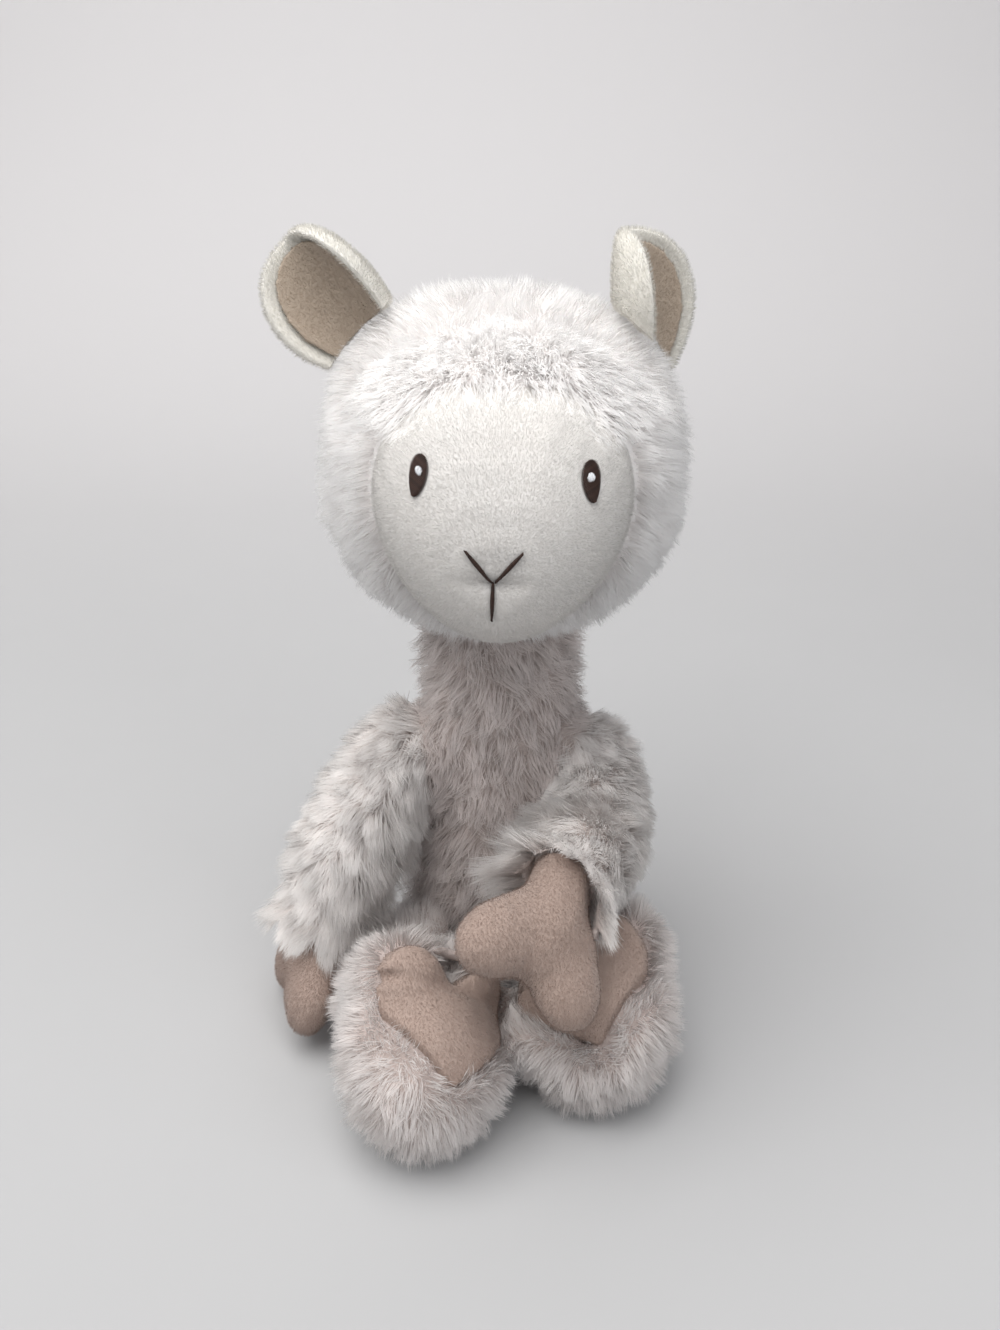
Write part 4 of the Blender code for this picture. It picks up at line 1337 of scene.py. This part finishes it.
@dataclass
class Embroidery:
    """The stitched eyes, nose and mouth, laid thread by thread on the face.

    Attributes:
        skin: The face's skin.
        thread: Thickness of a thread.
        eye_spacing: Distance between the eyes' middles.
        eye_aside: How far to the right their common middle lies.
        eye_raise: How high they lie above the head's middle.
        eye_width: Width of an eye.
        eye_height: Height of an eye.
        eye_lean: How far each eye leans out, in degrees.
        eye_slant: Slant of an eye's threads, in degrees.
        glint: Width of a glint.
        glint_slant: Slant of a glint's threads, in degrees.
        glint_in: How far toward the nose it lies, as a share of its width.
        glint_up: How far up its eye it lies, as a share of the eye's height.
        nose_width: Width of the nose.
        nose_height: Height of the nose.
        nose_drop: How low the nose's point lies.
        mouth: Length of the line below the nose.
        stroke: Width of the nose's and mouth's lines.
        fill_pitch: Distance between the threads of an eye, as a share of their thickness.
        line_pitch: The same along a line.
        wobble: How unevenly high the threads lie, as a share of their thickness.
    """

    skin: Skin
    thread: float = 0.00042
    eye_spacing: float = 0.0455
    eye_aside: float = 0.0018
    eye_raise: float = 0.0142
    eye_width: float = 0.0064
    eye_height: float = 0.0100
    eye_lean: float = 9.0
    eye_slant: float = 24.0
    glint: float = 0.0019
    glint_slant: float = 70.0
    glint_in: float = 0.32
    glint_up: float = 0.10
    nose_width: float = 0.0150
    nose_height: float = 0.0085
    nose_drop: float = 0.0100
    mouth: float = 0.0110
    stroke: float = 0.0013
    fill_pitch: float = 0.82
    line_pitch: float = 0.72
    wobble: float = 0.08

    def middle(self, side: Side) -> tuple[float, float]:
        """Return the middle of an eye, across and up the head."""
        return self.eye_aside + side.sign * self.eye_spacing / 2, self.eye_raise

    def outline(self, side: Side, points: int = 28) -> list[Vector]:
        """Return an eye's outline, round above and pointed below.

        Args:
            side: Which eye.
            points: How many points.

        Returns:
            Places across and up the head.
        """
        lean = Matrix.Rotation(math.radians(self.eye_lean) * side.sign, 2)
        middle = Vector(self.middle(side))
        outline = []
        for index in range(points):
            angle = math.tau * index / points
            narrow = 0.80 + 0.20 * math.cos(angle)
            offset = Vector((self.eye_width / 2 * math.sin(angle) * narrow,
                             self.eye_height / 2 * math.cos(angle)))
            outline.append(middle + lean @ offset)
        return outline

    def round_spot(self, side: Side, points: int = 14) -> list[Vector]:
        """Return a glint's outline, inside its eye.

        Args:
            side: Which eye.
            points: How many points.

        Returns:
            Places across and up the head.
        """
        across, up = self.middle(side)
        middle = Vector((across - side.sign * self.glint * self.glint_in,
                         up + self.eye_height * self.glint_up))
        angles = [math.tau * index / points for index in range(points)]
        return [middle + Vector((math.sin(angle) * self.glint / 2,
                                 math.cos(angle) * self.glint * 0.6)) for angle in angles]

    def strokes(self) -> list[tuple[str, Vector, Vector]]:
        """Place the lines of the nose and the mouth.

        Returns:
            The name and the two ends of each line, across and up the head.
        """
        low = -self.nose_drop
        gap = self.stroke * 0.45
        lines = [(f"nose_line_{side.label}",
                  Vector((side.sign * self.nose_width / 2, low + self.nose_height)),
                  Vector((side.sign * gap, low))) for side in Side]
        lines.append(("mouth_line", Vector((0, low - gap)), Vector((0, low - gap - self.mouth))))
        return lines

    def covers(self, place: Array) -> Array:
        """Tell which places lie below stitches.

        Args:
            place: Places in the head's own axes.

        Returns:
            Whether each is covered.
        """
        flat = place[:, [0, 2]]
        covered = np.zeros(len(place), dtype=bool)
        for side in Side:
            angle = -math.radians(self.eye_lean) * side.sign
            turn = np.array(((math.cos(angle), math.sin(angle)),
                             (-math.sin(angle), math.cos(angle))))
            own = (flat - np.array(self.middle(side))) @ turn
            covered |= np.hypot(own[:, 0] / (self.eye_width / 2),
                                own[:, 1] / (self.eye_height / 2)) < 0.98
        for _, start, stop in self.strokes():
            first, last = np.array(start), np.array(stop)
            way = last - first
            share = np.clip(((flat - first) @ way) / (way @ way), 0, 1)
            off = flat - first - share[:, None] * way
            covered |= np.hypot(off[:, 0], off[:, 1]) < self.stroke * 0.42
        return covered

    def surface(self, place: Vector, lift: float) -> tuple[Vector, Vector]:
        """Find the face in front of a place on the head.

        Args:
            place: The place, across and up the head.
            lift: How far off the face to stay.

        Returns:
            The place there, and the face's normal.
        """
        start = on_head(place.x, -0.2, place.y)
        ahead = (on_head(0, 1, 0) - on_head(0, 0, 0)).normalized()
        hit, normal, _, _ = self.skin.tree.ray_cast(start, ahead)
        return hit + normal * lift, normal

    def lay(self, ends: Sequence[Thread], lift: float, crown: float,
            seed: int, sides: int = 6, bends: int = 7) -> tuple[Array, Array, Array]:
        """Lay threads over the face.

        Args:
            ends: Both ends of each thread, and its thickness as a share of the usual.
            lift: Height of their ends over the cloth.
            crown: How much higher their middles are.
            seed: The seed of their chance.
            sides: Sides of a thread.
            bends: Straight pieces in a thread.

        Returns:
            The points, the triangles and the shades of the threads.
        """
        rng = np.random.default_rng(seed)
        points, faces, shades = [], [], []
        for first, last, thick in ends:
            base = len(points)
            chance = rng.random()
            wobble = rng.normal(0, self.thread * self.wobble)
            for row in range(bends + 1):
                share = row / bends
                swell = math.sin(math.pi * share)
                place, normal = self.surface(first.lerp(last, share),
                                             lift + crown * swell ** 0.6 + wobble)
                ahead, _ = self.surface(first.lerp(last, share + 0.02), lift)
                behind, _ = self.surface(first.lerp(last, share - 0.02), lift)
                along = (ahead - behind).normalized()
                across = along.cross(normal).normalized()
                over = across.cross(along)
                radius = self.thread / 2 * thick * (0.35 + 0.65 * min(1.0, swell * 2.2))
                for corner in range(sides):
                    angle = math.tau * corner / sides
                    points.append(place + radius * (math.cos(angle) * across
                                                    + math.sin(angle) * over))
                    shades.append((share, chance, chance, 1.0))
            for row in range(bends):
                for corner in range(sides):
                    after = (corner + 1) % sides
                    here = base + row * sides + corner
                    beside = base + row * sides + after
                    faces += [(here, beside, beside + sides), (here, beside + sides, here + sides)]
            for start, order in ((base, 1), (base + bends * sides, -1)):
                fan = [(start, start + corner + 1, start + corner) for corner in range(1, sides - 1)]
                faces += [triangle[::order] for triangle in fan]
        return np.array(points), np.array(faces), np.array(shades)

    def fill(self, outline: Sequence[Vector], slant: float) -> list[Thread]:
        """Fill an outline with threads, side by side.

        Args:
            outline: The outline, across and up the head.
            slant: The threads' slant, in degrees.

        Returns:
            Both ends of each thread, and its share of the usual thickness.
        """
        turn = Matrix.Rotation(math.radians(slant), 2)
        back = Matrix.Rotation(math.radians(-slant), 2)
        flat = [back @ point for point in outline]
        low = min(point.y for point in flat)
        high = max(point.y for point in flat)
        count = int((high - low) / (self.thread * self.fill_pitch))
        ends = []
        for index in range(count):
            level = low + (high - low) * (index + 0.5) / count
            cuts = []
            for first, last in zip(flat, flat[1:] + flat[:1]):
                if (first.y - level) * (last.y - level) < 0:
                    share = (level - first.y) / (last.y - first.y)
                    cuts.append(first.x + (last.x - first.x) * share)
            if len(cuts) >= 2:
                first, last = (turn @ Vector((cut, level)) for cut in (min(cuts), max(cuts)))
                ends.append((first, last, 1.0))
        return ends

    def line(self, start: Vector, stop: Vector) -> list[Thread]:
        """Set slanted threads close together along a line.

        Args:
            start: The line's first end.
            stop: Its last end.

        Returns:
            Both ends of each thread, and its share of the usual thickness.
        """
        way = stop - start
        across = Vector((-way.y, way.x)).normalized()
        count = int(way.length / (self.thread * self.line_pitch))
        ends = []
        for index in range(count + 1):
            share = index / count
            half = self.stroke / 2 * (0.45 + 0.55 * math.sin(math.pi * min(share * 1.1, 1.0)))
            middle = start.lerp(stop, share)
            slip = way.normalized() * self.stroke * 0.28
            ends.append((middle + across * half + slip, middle - across * half - slip, 0.95))
        return ends

    def piece(self, name: str, ends: Sequence[Thread],
              material: bpy.types.Material, slot: str, lift: float, crown: float,
              seed: int) -> None:
        """Make one embroidered piece.

        Args:
            name: The node that it replaces.
            ends: Both ends of each thread, and its share of the usual thickness.
            material: The thread's material.
            slot: The record's material slot; not used.
            lift: Height of the threads' ends over the cloth.
            crown: How much higher their middles are.
            seed: The seed of their chance.
        """
        points, faces, shades = self.lay(ends, lift, crown, seed)
        made = new_object(name + "_threads", raw_mesh(name, points, faces, shades), material)
        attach(made, "root")
        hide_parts(name)
        log.info("%s: %d threads", name, len(ends))

    def build(self) -> None:
        """Stitch the eyes, the glints, the nose and the mouth."""
        dark, white = DARK.material(), WHITE.material()
        for side in Side:
            eye = self.fill(self.outline(side), self.eye_slant * side.sign)
            self.piece(f"eye_{side.label}", eye, dark, "dark_thread", lift=0.00045, crown=0.0006,
                       seed=31)
            glint = self.fill(self.round_spot(side), self.glint_slant)
            self.piece(f"eye_glint_{side.label}", glint, white, "white_thread", lift=0.00105,
                       crown=0.0004, seed=32)
        for name, start, stop in self.strokes():
            self.piece(name, self.line(start, stop), dark, "dark_thread", lift=0.00035,
                       crown=0.0005, seed=33)


# Ears


@dataclass
class EarCloth:
    """A rolled ear of short plush and its tan lining.

    Attributes:
        side: Which ear.
    """

    side: Side

    def comb(self, points: Array, normals: Array) -> Array:
        """Comb the nap up to the ear's tip."""
        root = np.array(on_head(0.040 * self.side.sign, 0.010, 0.030))
        return unit(points - root) + 0.35 * drift_of(points, size=0.006, seed=5.0)

    def build(self) -> None:
        """Make the ear and its lining."""
        name = self.side.label
        skin = Skin((f"ear_{name}",), depth=0.0007, voxel=0.0008, smoothing=14)
        nap = Pile(length=0.0018, width=0.00024, lift=0.42, lock=0.0020, gather=0.10, sway=0.14,
                   unruly=0.22, bends=1)
        coat = Coat(f"ear_nap_{name}", skin, nap, EAR.fibre(), count=17000, comb=self.comb,
                    seed=21)
        Bag(f"ear_cloth_{name}", (f"ear_{name}",), "ear_plush", skin, EAR, coat.layers(0.5),
            fill=0.3, relief=0.0002).build()
        lining = Skin((f"ear_lining_{name}",), depth=0.0, voxel=0.0005, smoothing=3, faces=5000)
        nap = Pile(length=0.0010, width=0.00020, lift=0.30, lock=0.0012, gather=0.10, sway=0.12,
                   unruly=0.20, bends=1)
        coat = Coat(f"ear_lining_nap_{name}", lining, nap, LINING.fibre(), count=7000,
                    comb=self.comb, seed=22, shades=False)
        Bag(f"ear_lining_cloth_{name}", (f"ear_lining_{name}",), "ear_lining", lining, LINING,
            [coat], fill=0.1, relief=0.0003).build()


# Torso and tail


@dataclass
class Torso:
    """The torso, neck and tail of long pile, matted on the torso's front, which is painted darker
    there partly as painted shade.

    Attributes:
        skin: The torso's skin.
        fold: Height of the fold across the belly.
        fold_width: How wide the pile parts there.
        inside_head: Height above which the head hides the neck.
    """

    skin: Skin
    fold: float = 0.074
    fold_width: float = 0.0035
    inside_head: float = 0.156

    def comb(self, points: Array, normals: Array) -> Array:
        """Comb the pile down, with the swirls of a coat that has been hugged."""
        return down(points, normals) + 0.75 * drift_of(points, size=0.024, seed=1.3)

    def reach(self, points: Array, normals: Array) -> Array:
        """Leave the pile longer low on the side by the left arm, and part it at the fold.

        Args:
            points: Places on the skin.
            normals: The way that the skin faces there.

        Returns:
            How long the pile is, as a share of the cut.
        """
        low = 1 - step(points[:, 2], 0.070, 0.100)
        front = 1 - step(points[:, 1], 0.0, 0.02)
        left = np.clip(-normals[:, 0], 0, 1)
        fold = bell(points[:, 2], self.fold, self.fold_width)
        neck = step(points[:, 2], 0.115, 0.130)
        return 1 + 0.75 * low * left * front + 0.25 * neck - 0.75 * fold * front

    def keep(self, points: Array, normals: Array) -> Array:
        """Grow no pile where the toy sits, or inside the head."""
        seat = (points[:, 2] < 0.003) & (normals[:, 2] < -0.5)
        return ~seat & (points[:, 2] < self.inside_head)

    def build(self) -> None:
        """Make the torso and the tail."""
        pile = Pile(length=0.0100, width=0.00040, lift=0.46, lock=0.0058, gather=0.50, sway=0.42,
                    unruly=0.32, droop=0.08, rounding=0.40)
        coat = Coat("body_pile", self.skin, pile, TORSO.fibre(), count=36000, comb=self.comb,
                    keep=self.keep, reach=self.reach, seed=41)
        Bag("body_skin", ("body",), "long_pile", self.skin, TORSO, coat.layers(0.4),
            fill=0.7).build()
        tail = Skin(("tail",), depth=0.0028, voxel=0.0012, smoothing=4, faces=1200)
        tuft = Pile(length=0.0085, width=0.00042, lift=0.40, lock=0.0050, gather=0.60)
        coat = Coat("tail_pile", tail, tuft, COAT.fibre(), count=3000, seed=42)
        Bag("tail_skin", ("tail",), "long_pile", tail, COAT, [coat], fill=0.6).build()


# Arms and hooves


@dataclass
class ArmCloth:
    """An arm of long pile and the two-toed hoof that comes out of its cuff.

    Attributes:
        side: Which arm.
        skin: The arm's skin.
        route: Places along the arm's middle, from shoulder to cuff.
        hoof_along: The way that the hoof points.
        cuff_fade: How far from the hoof the cuff ends and the arm begins.
    """

    side: Side
    skin: Skin
    route: tuple[Place, ...]
    hoof_along: Place
    cuff_fade: tuple[float, float] = (0.006, 0.016)

    def along(self, points: Array) -> tuple[Array, Array]:
        """Find the arm's middle beside places on it.

        Args:
            points: The places.

        Returns:
            The middle beside each, and the way that the arm runs there.
        """
        stops = np.array(self.route)
        shares = np.linspace(0, len(stops) - 1.001, 60)
        whole = shares.astype(int)
        places = stops[whole] + (stops[whole + 1] - stops[whole]) * (shares - whole)[:, None]
        runs = unit(np.gradient(places, axis=0))
        nearest = np.argmin(((points[:, None] - places[None]) ** 2).sum(axis=2), axis=1)
        return places[nearest], runs[nearest]

    def cuff(self, points: Array) -> Array:
        """Return 1 at the cuff, fading to 0 up the arm."""
        return 1 - step(distance_to(f"hoof_{self.side.label}", points), *self.cuff_fade)

    def stand(self, points: Array, normals: Array) -> Array:
        """Lay the pile flatter at the cuff, over the hoof."""
        return 1 - 0.45 * self.cuff(points)

    def facing(self, points: Array, normals: Array) -> Array:
        """Face away from the arm's middle at the cuff, whose skin is tucked in.

        Args:
            points: Places on the skin.
            normals: The way that the skin faces there.

        Returns:
            The way that the pile takes its skin to face.
        """
        middles, runs = self.along(points)
        share = self.cuff(points)[:, None]
        return unit(normals * (1 - share) + tangent(points - middles, runs) * share)

    def reach(self, points: Array, normals: Array) -> Array:
        """Leave the pile longer on the side that faces the torso, and at the cuff."""
        inner = np.clip(-normals[:, 0] * self.side.sign, 0, 1)
        return 1 + 0.80 * inner + 0.25 * self.cuff(points)

    def comb(self, points: Array, normals: Array) -> Array:
        """Comb the pile down the arm."""
        return self.along(points)[1] + 0.40 * drift_of(points, size=0.018, seed=2.4)

    def comb_hoof(self, points: Array, normals: Array) -> Array:
        """Comb the hoof's nap along it."""
        return np.array(self.hoof_along) + 0.5 * drift_of(points, size=0.008, seed=6.2)

    def build(self) -> None:
        """Make the arm and its hoof."""
        name = self.side.label
        arm, hoof = f"arm_{name}", f"hoof_{name}"
        pile = Pile(length=0.0118, width=0.00038, lift=0.46, lock=0.0050, gather=0.46, sway=0.26,
                    unruly=0.24, droop=0.08, rounding=0.30)
        coat = Coat(f"arm_pile_{name}", self.skin, pile, COAT.fibre(), count=30000,
                    comb=self.comb, reach=self.reach, stand=self.stand, facing=self.facing,
                    seed=51)
        Bag(f"arm_skin_{name}", (arm,), "long_pile", self.skin, COAT, coat.layers(),
            fill=0.7).build()
        plush = Skin((hoof,), depth=0.0005, voxel=0.0010, smoothing=6)
        nap = Pile(length=0.0014, width=0.00020, lift=0.40, lock=0.0012, gather=0.10, sway=0.10,
                   unruly=0.30, bends=1)
        coat = Coat(f"hoof_nap_{name}", plush, nap, HOOF.fibre(), count=17000,
                    comb=self.comb_hoof, seed=52)
        Bag(f"hoof_cloth_{name}", (hoof,), "hoof_plush", plush, HOOF, [coat], fill=0.9,
            relief=0.0005).build()


# Legs and soles


@dataclass
class LegCloth:
    """A leg with its big round foot, and the heart let into its sole.

    Attributes:
        side: Which leg.
        skin: The leg's skin.
        heart: Middle of the heart.
        toes: The way from the heart's point to its lobes.
        rim_fade: How far off the heart its rim's pile starts and stops fading.
    """

    side: Side
    skin: Skin
    heart: Place
    toes: Place
    rim_fade: tuple[float, float] = (0.002, 0.010)

    def edge(self, points: Array) -> Array:
        """Return 1 beside the heart, fading to 0 a finger's width off it."""
        return 1 - step(distance_to(f"sole_{self.side.label}", points), *self.rim_fade)

    def keep(self, points: Array, normals: Array) -> Array:
        """Grow no pile where the leg rests on the floor."""
        return ~((points[:, 2] < 0.004) & (normals[:, 2] < -0.8))

    def comb(self, points: Array, normals: Array) -> Array:
        """Comb the pile away from the heart, and over its rim beside it.

        Args:
            points: Places on the skin.
            normals: The way that the skin faces there; not used.

        Returns:
            The way that it is combed at each.
        """
        flow = unit(points - np.array(self.heart))
        flow = flow * (1 - 1.7 * self.edge(points)[:, None])
        return flow + np.array((0, 0, -0.35)) + 0.40 * drift_of(points, size=0.016, seed=4.4)

    def stand(self, points: Array, normals: Array) -> Array:
        """Stand the pile up beside the heart."""
        return 1 + 0.35 * self.edge(points)

    def reach(self, points: Array, normals: Array) -> Array:
        """Leave the pile longer beside the heart."""
        return 1 + 0.15 * self.edge(points)

    def comb_sole(self, points: Array, normals: Array) -> Array:
        """Comb the sole's nap down from its toes."""
        return -np.array(self.toes) + 0.5 * drift_of(points, size=0.008, seed=8.2)

    def build(self) -> None:
        """Make the leg and its sole."""
        name = self.side.label
        leg, sole = f"leg_{name}", f"sole_{name}"
        pile = Pile(length=0.0092, width=0.00036, lift=0.50, lock=0.0046, gather=0.42, sway=0.24,
                    unruly=0.26, droop=0.05, rounding=0.30)
        coat = Coat(f"leg_pile_{name}", self.skin, pile, SHADED_LEGS.fibre(), count=26500,
                    comb=self.comb, keep=self.keep, reach=self.reach, stand=self.stand, seed=61)
        Bag(f"leg_skin_{name}", (leg,), "long_pile", self.skin, SHADED_LEGS, coat.layers(),
            fill=0.8).build()
        plush = Skin((sole,), depth=0.0003, voxel=0.0011, smoothing=4)
        nap = Pile(length=0.0012, width=0.00020, lift=0.38, lock=0.0012, gather=0.10, sway=0.10,
                   unruly=0.30, bends=1)
        coat = Coat(f"sole_nap_{name}", plush, nap, HOOF.fibre(), count=13000,
                    comb=self.comb_sole, seed=62)
        Bag(f"sole_cloth_{name}", (sole,), "hoof_plush", plush, HOOF, [coat], fill=0.9,
            relief=0.0004).build()


# Studio


@dataclass
class Studio:
    """The pale sweep, the soft lights and the camera.

    Attributes:
        camera_place: Where the camera stands.
        pitch: How far it looks down, in degrees.
        sensor: Longer side of its sensor in millimetres.
        focal: Its focal length in pixels.
        frame_height: Height of the picture in pixels.
        floor_colour: Colour of the paper below the toy.
        lit_wall_colour: Colour of the paper behind it, painted lighter than the floor as painted
            light.
        half_width: Half the paper's width.
        front: The Y of its front end.
        bend: The Y where it starts to curve up.
        radius: Radius of that curve.
        top: Height of its upper end.
        lit_wall_fade: The Ys between which the floor's colour turns to the wall's lighter colour,
            which is painted light.
        aim: What the lamps look at.
        world: Strength of the light from all around.
    """

    camera_place: Place = (0.0, -0.355, 0.315)
    pitch: float = 28.0
    sensor: float = 36.0
    focal: float = 1150
    frame_height: float = 1330
    floor_colour: Colour = (0.485, 0.485, 0.49)
    lit_wall_colour: Colour = (0.74, 0.725, 0.73)
    half_width: float = 2.5
    front: float = -2.0
    bend: float = 0.5
    radius: float = 0.6
    top: float = 2.4
    lit_wall_fade: tuple[float, float] = (0.15, 1.0)
    aim: Place = (0.0, 0.0, 0.12)
    world: float = 0.28

    def sweep(self, arc: int = 16) -> None:
        """Make the paper, which curves up behind the toy.

        Args:
            arc: Straight pieces in the curve.
        """
        profile = [(self.front, 0.0), (self.bend, 0.0)]
        for index in range(1, arc + 1):
            angle = math.pi / 2 * index / arc
            profile.append((self.bend + self.radius * math.sin(angle),
                            self.radius - self.radius * math.cos(angle)))
        profile.append((self.bend + self.radius, self.top))
        shape = bmesh.new()
        rows = [[shape.verts.new((x, y, z)) for x in (-self.half_width, self.half_width)]
                for y, z in profile]
        for low, high in zip(rows, rows[1:]):
            shape.faces.new((low[0], low[1], high[1], high[0]))
        mesh = bpy.data.meshes.new("floor")
        shape.to_mesh(mesh)
        shape.free()
        dye = Dye("floor_paper")
        fleck = dye.noise(9.0, 3.0)
        paler = tuple(channel * 1.04 for channel in self.floor_colour)
        colour = dye.mix(fleck, self.floor_colour, paler)
        # Painted light: the paper turns lighter as it rises behind the toy.
        colour = dye.mix(dye.fade(1, *self.lit_wall_fade), colour, self.lit_wall_colour)
        dye.feed(dye.shader.inputs["Base Color"], colour)
        dye.lustre(0.9, specular=0.1)
        new_object("floor", mesh, dye.material)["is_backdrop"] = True

    def lamp(self, name: str, place: Place, size: float, power: float, colour: Colour) -> None:
        """Hang one soft square lamp that looks at the toy.

        Args:
            name: The lamp's name.
            place: Where it hangs.
            size: Its side.
            power: Its power in watts.
            colour: Its colour.
        """
        light = bpy.data.lights.new(name, "AREA")
        light.size = size
        light.energy = power
        light.color = colour
        made = bpy.data.objects.new(name, light)
        made.location = place
        way = Vector(self.aim) - Vector(place)
        made.rotation_euler = way.to_track_quat("-Z", "Y").to_euler()
        bpy.context.scene.collection.objects.link(made)

    def build(self) -> None:
        """Set the stage, the lamps, the world and the camera."""
        scene = bpy.context.scene
        self.sweep()
        self.lamp("overhead", (-0.32, -0.20, 1.30), size=1.2, power=19.5,
                  colour=(1.0, 0.99, 0.975))
        self.lamp("window", (0.80, -0.70, 0.95), size=1.2, power=5.0, colour=(0.97, 0.98, 1.0))
        self.lamp("wall", (-1.05, -0.45, 0.55), size=0.9, power=1.5, colour=(1.0, 1.0, 1.0))
        world = bpy.data.worlds.new("studio")
        scene.world = world
        world.use_nodes = True
        backdrop = world.node_tree.nodes["Background"]
        backdrop.inputs["Color"].default_value = (0.97, 0.98, 1.0, 1.0)
        backdrop.inputs["Strength"].default_value = self.world
        lens = bpy.data.cameras.new("camera")
        lens.sensor_width = self.sensor
        lens.lens = self.focal * self.sensor / self.frame_height
        camera = bpy.data.objects.new("camera", lens)
        camera.location = self.camera_place
        camera.rotation_euler = (math.radians(90 - self.pitch), 0, 0)
        scene.collection.objects.link(camera)
        scene.camera = camera
        scene.view_settings.view_transform = "Standard"


# The toy's limbs and how they are joined

UPPER = ("body", "arm_left", "arm_right", "hoof_left", "hoof_right")
LOWER = ("body", "leg_left", "leg_right", "sole_left", "sole_right")
CUFFS = {"arm_left": "hoof_left", "arm_right": "hoof_right"}
SOLES = {"leg_left": "sole_left", "leg_right": "sole_right"}
ARM_ROUTES = {
    Side.LEFT: ((-0.024, 0.0, 0.102), (-0.0388, -0.0068, 0.0895), (-0.0495, -0.016, 0.0747),
                (-0.0581, -0.0247, 0.0582), (-0.0638, -0.0298, 0.0392)),
    Side.RIGHT: ((0.024, 0.0, 0.102), (0.0322, -0.0127, 0.0881), (0.0332, -0.0318, 0.0807),
                 (0.0271, -0.0512, 0.0813), (0.0178, -0.0693, 0.0813)),
}
HOOF_WAYS = {Side.LEFT: (-0.30, -0.30, -0.90), Side.RIGHT: (-0.30, -0.83, -0.47)}
HEARTS = {Side.LEFT: (-0.016, -0.090, 0.050), Side.RIGHT: (0.026, -0.068, 0.052)}
TOES = {Side.LEFT: (-0.044, 0.838, 0.545), Side.RIGHT: (0.095, 0.909, 0.407)}


def main() -> None:
    """Build the toy and its studio in order, and log how many triangles it has."""
    logging.basicConfig(level=logging.INFO, format="%(message)s")
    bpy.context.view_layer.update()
    Head().build()
    for side in Side:
        EarCloth(side).build()
    upper = Skin(UPPER, COAT_DEPTH, voxel=0.0020, smoothing=12, faces=14000)
    upper.draw_in(CUFFS, reach=0.013)
    upper_parts = upper.shared(UPPER, CUFFS)
    lower = Skin(LOWER, COAT_DEPTH, voxel=0.0020, smoothing=6, faces=14000)
    lower_parts = lower.shared(LOWER, SOLES)
    Torso(upper_parts["body"]).build()
    for side in Side:
        ArmCloth(side, upper_parts[f"arm_{side.label}"], ARM_ROUTES[side],
                 HOOF_WAYS[side]).build()
    for side in Side:
        LegCloth(side, lower_parts[f"leg_{side.label}"], HEARTS[side], TOES[side]).build()
    Studio().build()
    count = sum(len(piece.data.loop_triangles) or len(piece.data.polygons)
                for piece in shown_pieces())
    log.info("%d triangles in all", count)


if __name__ == "__main__":
    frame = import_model()
    main()
